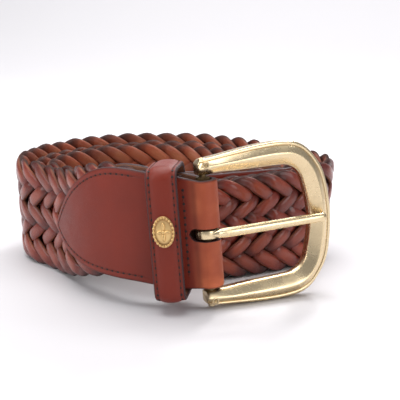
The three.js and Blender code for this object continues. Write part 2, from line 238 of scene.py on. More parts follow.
def centripetal(points: np.ndarray, divisions: int) -> np.ndarray:
    """Draws a centripetal curve through points.

    Args:
        points: the points, one per row.
        divisions: steps between neighbouring points.

    Returns:
        The points along the curve.
    """
    ends = (2 * points[0] - points[1], 2 * points[-1] - points[-2])
    p = np.vstack([ends[0], points, ends[1]])
    gap = np.linalg.norm(np.diff(p, axis=0), axis=1)[:, None] ** 0.5
    drawn = []
    for k in range(1, len(p) - 2):
        before, here, after = gap[k - 1], gap[k], gap[k + 1]
        leave = ((p[k] - p[k - 1]) / before - (p[k + 1] - p[k - 1]) / (before + here)
                 + (p[k + 1] - p[k]) / here) * here
        arrive = ((p[k + 1] - p[k]) / here - (p[k + 2] - p[k]) / (here + after)
                  + (p[k + 2] - p[k + 1]) / after) * here
        t = np.linspace(0, 1, divisions, endpoint=False)[:, None]
        drawn.append(p[k] * (1 + 2 * t) * (1 - t) ** 2 + leave * t * (1 - t) ** 2
                     + p[k + 1] * t * t * (3 - 2 * t) + arrive * t * t * (t - 1))
    return np.vstack([*drawn, points[-1:]])


@dataclass
class BeltCourse:
    """Where the belt runs, from the bar to the left, round the back and on into its own roll."""

    bar: np.ndarray
    tilt: float
    strap_width: float = 37.0
    inner_width: float = 34.5
    narrow_from: float = 240.0
    narrow_to: float = 340.0
    strap_thickness: float = 4.2
    strap_length: float = 850.0
    roll_size: float = 57.0
    bar_across: float = 0.354
    bar_ahead: float = 0.998
    layer_gap: float = 1.2
    flare: float = math.radians(4.6)
    front_run: float = 18.0
    settle_run: float = 72.0
    tilt_hold: float = 18.0
    ply_thickness: float = 1.8
    seam_gap: float = 0.4
    tip_length: float = 100.0
    tip_room: float = 1.2
    tip_ease: float = 50.0
    arch_length: float = 35.0
    nest_turn: float = 440.0
    route_step: float = 6.0
    route_end: float = 1250.0
    line: np.ndarray = field(init=False)
    run: np.ndarray = field(init=False)

    def __post_init__(self) -> None:
        """Draws the route of the strap's middle and measures it."""
        rows = [(row.turn, row.radius * self.roll_size) for row in ROLL_ROUTE]
        self.radius_rows = rows
        layer = self.strap_thickness + self.layer_gap
        rows.append((self.nest_turn, float(self.nested_radius(self.nest_turn - 360, layer)[0])))
        self.bar_route = np.array([self.bar_across, -self.bar_ahead]) * self.roll_size
        tip_turn = self.tip_turn()
        straight = [self.bar_route - [share * self.front_run, 0] for share in (0, 0.5, 1)]
        turns = np.arange(ROLL_ROUTE[0].turn, self.route_end + 1e-6, self.route_step)
        crowd = (self.half_fold - self.strap_thickness / 2 + self.tip_room) * smooth_step(
            turns, tip_turn - self.tip_ease, tip_turn)
        self.line = centripetal(np.vstack([straight, self.route_points(turns, crowd)]), 24)
        steps = np.linalg.norm(np.diff(self.line, axis=0), axis=1)
        self.run = np.concatenate([[0], np.cumsum(steps)])

    @property
    def ply_offset(self) -> float:
        """Offset of the inside of a leather ply that lies on the plait."""
        return self.strap_thickness / 2 + self.seam_gap

    @property
    def half_fold(self) -> float:
        """Offset of the outside of a leather ply that lies on the plait."""
        return self.ply_offset + self.ply_thickness

    def strap_half(self, along: np.ndarray) -> np.ndarray:
        """Half width of the strap, which is wider on the outside of the roll than further in."""
        share = smooth_step(along, self.narrow_from, self.narrow_to)
        return (self.strap_width + (self.inner_width - self.strap_width) * share) / 2

    def nested_radius(self, turn: np.ndarray | float, inset: np.ndarray | float) -> np.ndarray:
        """Radius of a layer that lies an inset inside the chosen route.

        Args:
            turn: turns from the front, in degrees.
            inset: how far inside the route it lies.

        Returns:
            The radius at each turn.
        """
        step = 2
        radius = smooth_value(self.radius_rows, turn)
        rise = smooth_value(self.radius_rows, np.add(turn, step)) - smooth_value(
            self.radius_rows, np.subtract(turn, step))
        return radius - inset * np.hypot(1, rise / math.radians(2 * step) / radius)

    def route_points(self, turns: np.ndarray, crowd: np.ndarray | float = 0.0) -> np.ndarray:
        """Places of the strap's middle in the roll.

        Args:
            turns: turns from the front, in degrees.
            crowd: how far the layer gives way inwards.

        Returns:
            The places seen from above, from the roll's middle.
        """
        turns = np.atleast_1d(np.asarray(turns, float))
        crowd = np.broadcast_to(crowd, turns.shape)
        layers = np.where(turns > self.nest_turn, np.floor((turns - self.nest_turn) / 360) + 1, 0)
        pitch = self.strap_thickness + self.layer_gap
        nested = self.nested_radius(turns - 360 * layers, layers * pitch + crowd)
        radius = np.where(layers > 0, nested, smooth_value(self.radius_rows, turns))
        angle = np.radians(turns)
        return np.stack([-radius * np.sin(angle), -radius * np.cos(angle)], axis=1)

    def tip_turn(self) -> float:
        """The turn at which the thicker tip begins, from the length of the roll outside it.

        Returns:
            The turn, in degrees.
        """
        turn = ROLL_ROUTE[0].turn
        points = self.route_points(np.arange(turn, self.route_end, 1.0))
        along = np.linalg.norm(points[0] - self.bar_route) + np.concatenate(
            [[0], np.cumsum(np.linalg.norm(np.diff(points, axis=0), axis=1))])
        goal = self.strap_length - self.tip_length - self.arch_length / 2
        return turn + int(np.argmax(along >= goal))

    def axes(self, along: np.ndarray) -> tuple[np.ndarray, np.ndarray, np.ndarray, np.ndarray]:
        """Reads the belt's course.

        Args:
            along: lengths along the belt.

        Returns:
            The middle of the strap, outward and up directions and the lean at each length.
        """
        held = np.clip(along, 0, self.run[-1])
        flat = np.stack([np.interp(held, self.run, self.line[:, k]) for k in (0, 1)], axis=1)
        ahead = np.stack([np.interp(held + 0.25, self.run, self.line[:, k]) for k in (0, 1)], axis=1)
        behind = np.stack([np.interp(held - 0.25, self.run, self.line[:, k]) for k in (0, 1)], axis=1)
        level = ahead - behind
        level /= np.linalg.norm(level, axis=1)[:, None]
        level[along <= 0] = (-1, 0)
        bar_lift = self.bar[2] - self.strap_width / 2
        lift_rows = [(row.along * self.settle_run, row.lift * bar_lift) for row in LIFT_ROUTE]
        height = self.strap_half(held) + np.maximum(0, smooth_value(lift_rows, held))
        middle = np.column_stack([flat, height])
        tilt = self.tilt * (1 - smooth_step(along, self.tilt_hold, self.settle_run))
        tangent = np.column_stack([level * np.cos(tilt)[:, None], -np.sin(tilt)])
        middle += tangent * np.minimum(along, 0)[:, None]
        outward = np.column_stack([-level[:, 1], level[:, 0], np.zeros(len(level))])
        front = -middle[:, 1] / np.hypot(middle[:, 0], middle[:, 1])
        lean = np.where(along <= 0, 0, math.tan(self.flare) * (1 - ((1 + front) / 2) ** 2))
        middle[:, :2] += self.bar[:2] - self.bar_route
        return middle, outward, np.cross(tangent, outward), lean

    def place(self, along: np.ndarray, out: np.ndarray, height: np.ndarray) -> np.ndarray:
        """Turns lengths, offsets and heights on the belt into points.

        Args:
            along: lengths along the belt.
            out: offsets outwards from the middle of the strap.
            height: heights from the strap's centreline.

        Returns:
            The points, with the shape of the arguments and a last axis of three.
        """
        along, out, height = np.broadcast_arrays(along, out, height)
        middle, outward, up, lean = self.axes(along.ravel().astype(float))
        flat_out = out.ravel() + lean * height.ravel()
        points = middle + outward * flat_out[:, None] + up * height.ravel()[:, None]
        return points.reshape(*along.shape, 3)

    def local_axes(self, along: float, yaw: float = 0.0) -> tuple[np.ndarray, np.ndarray]:
        """Axes of a fitting on the belt.

        Args:
            along: its length along the belt.
            yaw: how far it swings inwards about the strap's height.

        Returns:
            Its origin, and its axes as rows: towards the buckle, inwards and up.
        """
        middle, outward, up, _ = self.axes(np.array([along]))
        tangent = np.cross(outward[0], up[0])
        forward = -tangent * math.cos(yaw) - outward[0] * math.sin(yaw)
        return middle[0], np.array([forward, np.cross(up[0], forward), up[0]])


@dataclass
class Body:
    """Points, faces and finishes of one piece while it is put together."""

    points: list[np.ndarray] = field(default_factory=list)
    faces: list[tuple[int, ...]] = field(default_factory=list)
    slots: list[int] = field(default_factory=list)
    marks: dict[str, list[np.ndarray]] = field(default_factory=dict)
    count: int = 0

    def add_points(self, points: np.ndarray, **marks: np.ndarray | float) -> np.ndarray:
        """Adds points with their marks.

        Args:
            points: the points, with a last axis of three.
            marks: a value for each point, or for all, by the mark's name.

        Returns:
            The points' numbers, in the points' own layout.
        """
        flat = np.asarray(points, float).reshape(-1, 3)
        numbers = np.arange(self.count, self.count + len(flat)).reshape(points.shape[:-1])
        self.points.append(flat)
        self.count += len(flat)
        for name, values in marks.items():
            spread = np.broadcast_to(values, points.shape[:-1]).ravel()
            self.marks.setdefault(name, []).append(spread)
        return numbers

    def add_grid(self, numbers: np.ndarray, slots: np.ndarray | int = 0,
                 wrap: tuple[bool, bool] = (False, False)) -> None:
        """Adds the faces of a grid of points.

        Args:
            numbers: the points' numbers, in rows and columns.
            slots: the finish of each face, or of all.
            wrap: whether the last row, and the last column, joins the first.
        """
        if wrap[0]:
            numbers = np.vstack([numbers, numbers[:1]])
        if wrap[1]:
            numbers = np.hstack([numbers, numbers[:, :1]])
        a, b, c, d = numbers[:-1, :-1], numbers[1:, :-1], numbers[1:, 1:], numbers[:-1, 1:]
        self.faces.extend(map(tuple, np.stack([a, b, c, d], axis=-1).reshape(-1, 4).tolist()))
        self.slots.extend(np.broadcast_to(slots, a.shape).ravel().tolist())

    def add_tube(self, rings: np.ndarray, slots: np.ndarray | int = 0, looped: bool = False,
                 **marks: np.ndarray | float) -> None:
        """Adds a closed tube of rings of points, with flat ends unless it is looped.

        Args:
            rings: the rings, one after the other.
            slots: the finish of each face, or of all.
            looped: whether the last ring joins the first.
            marks: a value for each point, or for all, by the mark's name.
        """
        numbers = self.add_points(rings, **marks)
        self.add_grid(numbers, slots, (looped, True))
        if not looped:
            for ring in (numbers[0], numbers[-1]):
                self.faces.append(tuple(ring.tolist()))
                self.slots.append(int(np.ravel(slots)[0]))

    def finish(self, name: str, materials: Sequence[bpy.types.Material], sharp: float = 40.0,
               merge: float = 0.002) -> bpy.types.Object:
        """Makes the object.

        Args:
            name: its name.
            materials: its finishes, in the order of its slots.
            sharp: the angle in degrees above which an edge stays sharp.
            merge: points nearer than this become one.

        Returns:
            The object, linked to the scene.
        """
        mesh = bpy.data.meshes.new(name)
        points = np.concatenate(self.points) * MM
        mesh.from_pydata(points.tolist(), [], self.faces)
        mesh.polygons.foreach_set("material_index", self.slots)
        for mark, values in self.marks.items():
            layer = mesh.attributes.new(mark, "FLOAT", "POINT")
            layer.data.foreach_set("value", np.concatenate(values).astype(np.float32))
        work = bmesh.new()
        work.from_mesh(mesh)
        bmesh.ops.remove_doubles(work, verts=work.verts, dist=merge * MM)
        bmesh.ops.dissolve_degenerate(work, edges=work.edges, dist=merge * MM / 4)
        bmesh.ops.recalc_face_normals(work, faces=work.faces)
        work.to_mesh(mesh)
        work.free()
        mesh.polygons.foreach_set("use_smooth", [True] * len(mesh.polygons))
        mesh.set_sharp_from_angle(angle=math.radians(sharp))
        for material in materials:
            mesh.materials.append(material)
        piece = bpy.data.objects.new(name, mesh)
        bpy.context.scene.collection.objects.link(piece)
        log.info("%s: %d faces", name, len(mesh.polygons))
        return piece


def settle(piece: bpy.types.Object, body: str, slot: str, *nodes: str) -> bpy.types.Object:
    """Puts a piece on its body, and in the place of the nodes it stands for.

    Args:
        piece: the object.
        body: the body that it rides on.
        slot: the name of a material slot; not used.
        nodes: the solids that it stands for.

    Returns:
        The piece.
    """
    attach(piece, body)
    if nodes:
        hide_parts(*nodes)
    return piece


@dataclass
class Seam:
    """The threads of some rows of stitches, and near-black discs that paint the shade in their pricked
    holes.
    """

    sides: int = 8
    hole_place: float = 0.72
    hole_width: float = 2.1
    threads: Body = field(default_factory=Body)
    holes: Body = field(default_factory=Body)

    def add_stitch(self, centre: np.ndarray, along: np.ndarray, normal: np.ndarray,
                   size: tuple[float, float]) -> None:
        """Adds one thread, and a near-black disc that paints the shade of the hole that it goes into.

        Args:
            centre: the thread's middle, on the leather's face.
            along: its direction.
            normal: the face's outward direction.
            size: its length and thickness.
        """
        turn = circle(self.sides)
        side = np.cross(normal, along)
        length, radius = size[0], size[1] / 2
        rings = []
        for row in THREAD_ROWS:
            base = centre + along * row.along * length + normal * (row.thickness - 1.0) * radius
            reach = radius * row.thickness
            rings.append([base + reach * (side * math.cos(a) + normal * math.sin(a)) for a in turn])
        self.threads.add_tube(np.array(rings))
        hole = centre + along * length * self.hole_place
        rings = []
        for row in HOLE_ROWS:
            reach = radius * self.hole_width * row.radius
            base = hole + normal * row.lift
            rings.append([base + reach * (side * math.cos(a) + along * math.sin(a)) for a in turn])
        self.holes.add_tube(np.array(rings))

    def settle(self, name: str, finishes: "Finishes") -> None:
        """Makes the pieces under a common name, on the strap's body.

        Args:
            name: the first part of their names.
            finishes: the materials.
        """
        for part, body, material in (("stitches", self.threads, finishes.thread),
                                     ("holes", self.holes, finishes.hole)):
            settle(body.finish(f"{name}_{part}", [material]), "strap", "tab_leather")


class Tree:
    """A short way to write one node tree."""

    def __init__(self, tree: bpy.types.NodeTree) -> None:
        """Starts the tree empty."""
        self.tree = tree
        tree.nodes.clear()

    def add(self, kind: str, inputs: dict[str | int, Any] | None = None,
            **settings: Any) -> bpy.types.Node:
        """Adds a node.

        Args:
            kind: the node's type, without its ShaderNode prefix where it has one.
            inputs: values or sockets for its inputs.
            settings: its other properties.

        Returns:
            The node.
        """
        prefix = "" if kind.startswith("Node") else "ShaderNode"
        node = self.tree.nodes.new(prefix + kind)
        for key, value in settings.items():
            setattr(node, key, value)
        for key, value in (inputs or {}).items():
            if isinstance(value, bpy.types.NodeSocket):
                self.tree.links.new(value, node.inputs[key])
            else:
                if isinstance(value, tuple) and len(value) == 3 and node.inputs[key].type == "RGBA":
                    value = (*value, 1.0)
                node.inputs[key].default_value = value
        return node

    def noise(self, vector: bpy.types.NodeSocket, scale: Any, detail: float = 3.0,
              rough: float = 0.55) -> bpy.types.NodeSocket:
        """Adds noise and returns its value."""
        return self.add("TexNoise", {
            "Vector": vector, "Scale": scale, "Detail": detail, "Roughness": rough}).outputs["Fac"]

    def math(self, operation: str, first: Any, second: Any = 0.0,
             clamp: bool = False) -> bpy.types.NodeSocket:
        """Adds a sum and returns its result."""
        return self.add("Math", {0: first, 1: second}, operation=operation, use_clamp=clamp).outputs[0]

    def spread(self, value: Any, low: Any, high: Any, to_low: Any = 0.0, to_high: Any = 1.0,
               smooth: bool = True) -> bpy.types.NodeSocket:
        """Maps a value from one range to another.

        Args:
            value: the value.
            low: where the first range begins.
            high: where it ends.
            to_low: where the second range begins.
            to_high: where it ends.
            smooth: whether it eases in and out.

        Returns:
            The mapped value.
        """
        return self.add("MapRange", {
            "Value": value, "From Min": low, "From Max": high, "To Min": to_low, "To Max": to_high,
        }, interpolation_type="SMOOTHSTEP" if smooth else "LINEAR").outputs["Result"]

    def surface(self, inputs: dict[str, Any]) -> None:
        """Ends a material with its shader."""
        shader = self.add("BsdfPrincipled", inputs)
        self.tree.links.new(shader.outputs["BSDF"], self.add("OutputMaterial").inputs["Surface"])

    def dress(self, group: bpy.types.NodeTree, values: dict[str, Any], marks: dict[str, str],
              relief: tuple[float, float], shader: dict[str, Any]) -> None:
        """Ends a material with a shared group, its relief and its shader.

        Args:
            group: the shared shader group.
            values: the group's own inputs.
            marks: the mesh's mark for each further input, empty where it has none.
            relief: the relief's height in metres and its strength.
            shader: further inputs of the shader.
        """
        look = self.add("Group", node_tree=group)
        for label, value in values.items():
            look.inputs[label].default_value = (*value, 1.0) if isinstance(value, tuple) else value
        for label, mark in marks.items():
            if mark:
                marked = self.add("Attribute", attribute_name=mark).outputs["Fac"]
                self.tree.links.new(marked, look.inputs[label])
        bump = self.add("Bump", {
            "Height": look.outputs["Height"], "Distance": relief[0], "Strength": relief[1]})
        self.surface({"Base Color": look.outputs["Colour"], "Roughness": look.outputs["Roughness"],
                      "Normal": bump.outputs["Normal"], **shader})

    def give(self, out: bpy.types.Node, **sockets: bpy.types.NodeSocket) -> bpy.types.NodeTree:
        """Links a group's results to its output node.

        Args:
            out: the output node.
            sockets: the results, by the output's name.

        Returns:
            The group.
        """
        for label, socket in sockets.items():
            self.tree.links.new(socket, out.inputs[label])
        return self.tree

    def blend(self, factor: Any, first: Any, second: Any, mode: str = "MIX") -> bpy.types.NodeSocket:
        """Mixes two colours.

        Args:
            factor: the share of the second.
            first: the first colour.
            second: the second colour.
            mode: how they mix.

        Returns:
            The mixed colour.
        """
        node = self.add("Mix", data_type="RGBA", blend_type=mode)
        for index, value in ((0, factor), (6, first), (7, second)):
            if isinstance(value, bpy.types.NodeSocket):
                self.tree.links.new(value, node.inputs[index])
            else:
                node.inputs[index].default_value = (*value, 1.0) if isinstance(value, tuple) else value
        return node.outputs[2]


def new_material(name: str) -> tuple[bpy.types.Material, Tree]:
    """Starts a material and its node tree.

    Args:
        name: the material's name.

    Returns:
        The material and its tree.
    """
    material = bpy.data.materials.new(name)
    material.use_nodes = True
    return material, Tree(material.node_tree)


def new_group(name: str, inputs: dict[str, tuple[str, Any]],
              outputs: dict[str, str]) -> tuple[Tree, Any, Any]:
    """Starts a shader group.

    Args:
        name: its name.
        inputs: each input's socket type and value.
        outputs: each output's socket type.

    Returns:
        Its tree, and its input and output nodes.
    """
    group = bpy.data.node_groups.new(name, "ShaderNodeTree")
    for label, (kind, value) in inputs.items():
        socket = group.interface.new_socket(name=label, in_out="INPUT", socket_type="NodeSocket" + kind)
        socket.default_value = (*value, 1.0) if kind == "Color" else value
    for label, kind in outputs.items():
        group.interface.new_socket(name=label, in_out="OUTPUT", socket_type="NodeSocket" + kind)
    tree = Tree(group)
    return tree, tree.add("NodeGroupInput"), tree.add("NodeGroupOutput")


def hide_group() -> bpy.types.NodeTree:
    """Makes the shader group of dyed, waxed and handled leather, with shade painted into its hollows and a
    lighter colour that is partly wear and partly a painted highlight.

    Returns:
        The group, with outputs for colour, roughness and surface height.
    """
    tree, given, out = new_group("waxed_hide", {
        "Full Colour": ("Color", (0.4, 0.12, 0.06)), "Deep Colour": ("Color", (0.1, 0.02, 0.01)),
        "Rubbed And Highlight Colour": ("Color", (0.55, 0.22, 0.12)), "Gloss": ("Float", 0.35),
        "Dryness": ("Float", 0.2), "Hollow": ("Float", 0.0), "Rub And Highlight": ("Float", 0.0),
        "Tone": ("Float", 0.5), "Grain Size": ("Float", 2600.0),
    }, {"Colour": "Color", "Roughness": "Float", "Height": "Float"})
    place = tree.add("TexCoord").outputs["Object"]
    cloud = tree.noise(place, 55.0, 3.0)
    patch = tree.noise(place, 320.0, 4.0, 0.6)
    pores = tree.add("TexVoronoi", {"Vector": place, "Scale": given.outputs["Grain Size"]},
                     feature="DISTANCE_TO_EDGE").outputs["Distance"]
    crease = tree.spread(pores, 0.0, 0.16)
    fine = tree.noise(place, 5200.0, 2.0)
    tone = tree.math("ADD", tree.math("MULTIPLY", cloud, 0.6),
                     tree.math("MULTIPLY", given.outputs["Tone"], 0.7))
    colour = tree.blend(tree.spread(tone, 0.35, 1.0, 0.0, 0.5), given.outputs["Full Colour"],
                        given.outputs["Deep Colour"])
    # A lighter colour where its mark is high: partly wear, partly a painted highlight.
    rub_and_highlight = tree.math("MULTIPLY", given.outputs["Rub And Highlight"], tree.spread(cloud, 0.38, 0.62, 0.35, 1.0))
    colour = tree.blend(rub_and_highlight, colour, given.outputs["Rubbed And Highlight Colour"])
    # Painted shade from the hollow mark, or the darker pores of the grain, whichever is more.
    shade = tree.math("MAXIMUM", given.outputs["Hollow"],
                      tree.math("MULTIPLY", tree.spread(crease, 1.0, 0.0), 0.08))
    colour = tree.blend(shade, colour, given.outputs["Deep Colour"])
    rough = tree.math("ADD", given.outputs["Gloss"], tree.math(
        "MULTIPLY", tree.spread(patch, 0.3, 0.72), given.outputs["Dryness"]))
    rough = tree.math("ADD", rough, tree.math("MULTIPLY", given.outputs["Hollow"], 0.15), clamp=True)
    height = tree.math("ADD", tree.math("MULTIPLY", crease, 0.5), tree.math("MULTIPLY", fine, 0.25))
    height = tree.math("ADD", height, tree.math("MULTIPLY", patch, 0.5))
    return tree.give(out, Colour=colour, Roughness=rough, Height=height)


def metal_group() -> bpy.types.NodeTree:
    """Makes the shader group of polished metal that has been handled and worn.

    Returns:
        The group, with outputs for colour, roughness and surface height.
    """
    tree, given, out = new_group("handled_metal", {
        "Full Colour": ("Color", (0.8, 0.6, 0.3)), "Dull Colour": ("Color", (0.35, 0.22, 0.08)),
        "Polish": ("Float", 0.18), "Wear": ("Float", 0.3), "Hollow": ("Float", 0.0),
    }, {"Colour": "Color", "Roughness": "Float", "Height": "Float"})
    place = tree.add("TexCoord").outputs["Object"]
    cloud = tree.noise(place, 120.0, 4.0, 0.6)
    speck = tree.noise(place, 900.0, 5.0, 0.7)
    drawn = tree.add("Mapping", {"Vector": place, "Rotation": (0.4, 0.9, 0.3), "Scale": (1.0, 14.0, 1.0)})
    scratch = tree.noise(drawn.outputs["Vector"], 420.0, 2.0, 0.4)
    line = tree.spread(scratch, 0.62, 0.72)
    worn = tree.math("MULTIPLY", given.outputs["Wear"], tree.spread(cloud, 0.42, 0.7))
    dull = tree.math("MAXIMUM", tree.math("MULTIPLY", given.outputs["Hollow"], 0.85),
                     tree.math("MULTIPLY", worn, tree.spread(speck, 0.35, 0.7)))
    colour = tree.blend(dull, given.outputs["Full Colour"], given.outputs["Dull Colour"])
    rough = tree.math("ADD", given.outputs["Polish"], tree.math("MULTIPLY", worn, 0.45))
    rough = tree.math("ADD", rough, tree.math("MULTIPLY", line, 0.08), clamp=True)
    height = tree.math("ADD", tree.math("MULTIPLY", cloud, 0.7), tree.math("MULTIPLY", speck, 0.03))
    height = tree.math("SUBTRACT", height, tree.math("MULTIPLY", line, 0.06))
    return tree.give(out, Colour=colour, Roughness=rough, Height=height)


@dataclass(frozen=True)
class Leather:
    """A leather finish: colours, gloss and grain, and the marks on the mesh that paint shade into it or dye
    its edges dark, and that lighten it with wear and a painted highlight.
    """

    name: str
    full: Colour
    deep: Colour
    rubbed_and_highlight: Colour
    gloss: float = 0.34
    dryness: float = 0.22
    grain: float = 2600.0
    relief: float = 0.00012
    relief_strength: float = 0.6
    coat: float = 0.25
    coat_roughness: float = 0.12
    ior: float = 1.36
    hollow_mark: str = ""
    rub_and_highlight_mark: str = ""
    tone_mark: str = ""

    def make(self, group: bpy.types.NodeTree) -> bpy.types.Material:
        """Makes the material.

        Args:
            group: the shared leather group.

        Returns:
            The material.
        """
        material, tree = new_material(self.name)
        tree.dress(
            group, {"Full Colour": self.full, "Deep Colour": self.deep, "Rubbed And Highlight Colour": self.rubbed_and_highlight,
                    "Gloss": self.gloss, "Dryness": self.dryness, "Grain Size": self.grain},
            {"Hollow": self.hollow_mark, "Rub And Highlight": self.rub_and_highlight_mark, "Tone": self.tone_mark},
            (self.relief, self.relief_strength),
            {"Coat Weight": self.coat, "Coat Roughness": self.coat_roughness, "IOR": self.ior})
        return material


@dataclass(frozen=True)
class Metal:
    """A metal finish: colours, polish and wear."""

    name: str
    full: Colour
    dull: Colour
    polish: float = 0.16
    wear: float = 0.3
    relief: float = 0.00003
    relief_strength: float = 0.5
    hollow_mark: str = ""

    def make(self, group: bpy.types.NodeTree) -> bpy.types.Material:
        """Makes the material.

        Args:
            group: the shared metal group.

        Returns:
            The material.
        """
        material, tree = new_material(self.name)
        tree.dress(
            group, {"Full Colour": self.full, "Dull Colour": self.dull, "Polish": self.polish,
                    "Wear": self.wear},
            {"Hollow": self.hollow_mark}, (self.relief, self.relief_strength), {"Metallic": 1.0})
        return material


@dataclass(frozen=True)
class Plain:
    """A finish of one colour."""

    name: str
    colour: Colour
    roughness: float

    def make(self) -> bpy.types.Material:
        """Makes the material.

        Returns:
            The material.
        """
        material, tree = new_material(self.name)
        tree.surface({"Base Color": self.colour, "Roughness": self.roughness})
        return material


class Finishes:
    """Every material of the belt, made once."""

    def __init__(self) -> None:
        """Makes the shared groups and the materials."""
        hide, metal = hide_group(), metal_group()
        # The strands get painted shade where they lie low between their neighbours, and a lighter colour on
        # their crests that is partly wear and partly a painted highlight.
        self.strand = Leather("strand_grain", (0.2, 0.02, 0.008), (0.028, 0.003, 0.0015),
                              (0.42, 0.075, 0.03), gloss=0.28, dryness=0.1, coat=0.5,
                              hollow_mark="hollow", rub_and_highlight_mark="crest", tone_mark="tone").make(hide)
        self.strand_edge = Leather("strand_edge", (0.33, 0.1, 0.05), (0.025, 0.006, 0.004),
                                   (0.5, 0.22, 0.12), gloss=0.55, coat=0.0, hollow_mark="hollow",
                                   tone_mark="tone").make(hide)
        self.strand_flesh = Leather("strand_flesh", (0.31, 0.06, 0.02), (0.035, 0.008, 0.005),
                                    (0.42, 0.15, 0.065), gloss=0.42, coat=0.1, relief=0.0002,
                                    hollow_mark="hollow", rub_and_highlight_mark="crest", tone_mark="tone").make(hide)
        # The tab's grain is lightened at the fold, partly by stretching and partly as a painted highlight,
        # and darkened by painted shade in its stitch grooves and crease and by the dye of its edges.
        self.tab = Leather("tab_grain", (0.225, 0.024, 0.01), (0.06, 0.008, 0.005), (0.64, 0.16, 0.06),
                           gloss=0.36, dryness=0.08, relief=0.00005, coat=0.0, hollow_mark="hollow",
                           rub_and_highlight_mark="stretch").make(hide)
        self.tab_edge = Leather("burnished_edge", (0.05, 0.022, 0.024), (0.03, 0.012, 0.012),
                                (0.1, 0.05, 0.045), gloss=0.4, coat=0.0).make(hide)
        self.tab_flesh = Leather("flesh_side", (0.22, 0.09, 0.05), (0.09, 0.035, 0.02), (0.32, 0.16, 0.1),
                                 gloss=0.7, coat=0.0).make(hide)
        self.thread = Leather("waxed_thread", (0.17, 0.03, 0.015), (0.06, 0.012, 0.008),
                              (0.22, 0.08, 0.045), gloss=0.5, coat=0.0, grain=6000.0).make(hide)
        # Near-black painted shade inside the pricked holes.
        self.hole = Plain("stitch_hole_shade", (0.01, 0.004, 0.004), 0.7).make()
        self.ply = [self.tab, self.tab_edge, self.tab_flesh]
        self.brass = Metal("polished_brass", (0.8, 0.64, 0.4), (0.3, 0.2, 0.09), polish=0.24, wear=0.2,
                           hollow_mark="hollow").make(metal)
        # The bar's brass is painted dark for the shade it lies in between the tab and the arms.
        self.bar_shade_brass = Metal("bar_painted_shade_brass", (0.2, 0.14, 0.07), (0.08, 0.05, 0.025), polish=0.5,
                                wear=0.8).make(metal)
        self.gilt = Metal("gilt_brass", (0.74, 0.5, 0.22), (0.26, 0.13, 0.05), polish=0.28, wear=0.5,
                          hollow_mark="hollow").make(metal)


@dataclass(frozen=True)
class Wave:
    """A slow unevenness of a strand: its size, and the length that sets its pace."""

    size: float
    pace: float

    def at(self, along: np.ndarray, start: float) -> np.ndarray:
        """Its value at lengths along the belt."""
        return self.size * np.sin(along / self.pace + start)


def squared(value: np.ndarray, power: float) -> np.ndarray:
    """Squares up a sine or cosine, so that a round section turns towards a box."""
    return np.sign(value) * np.abs(value) ** power


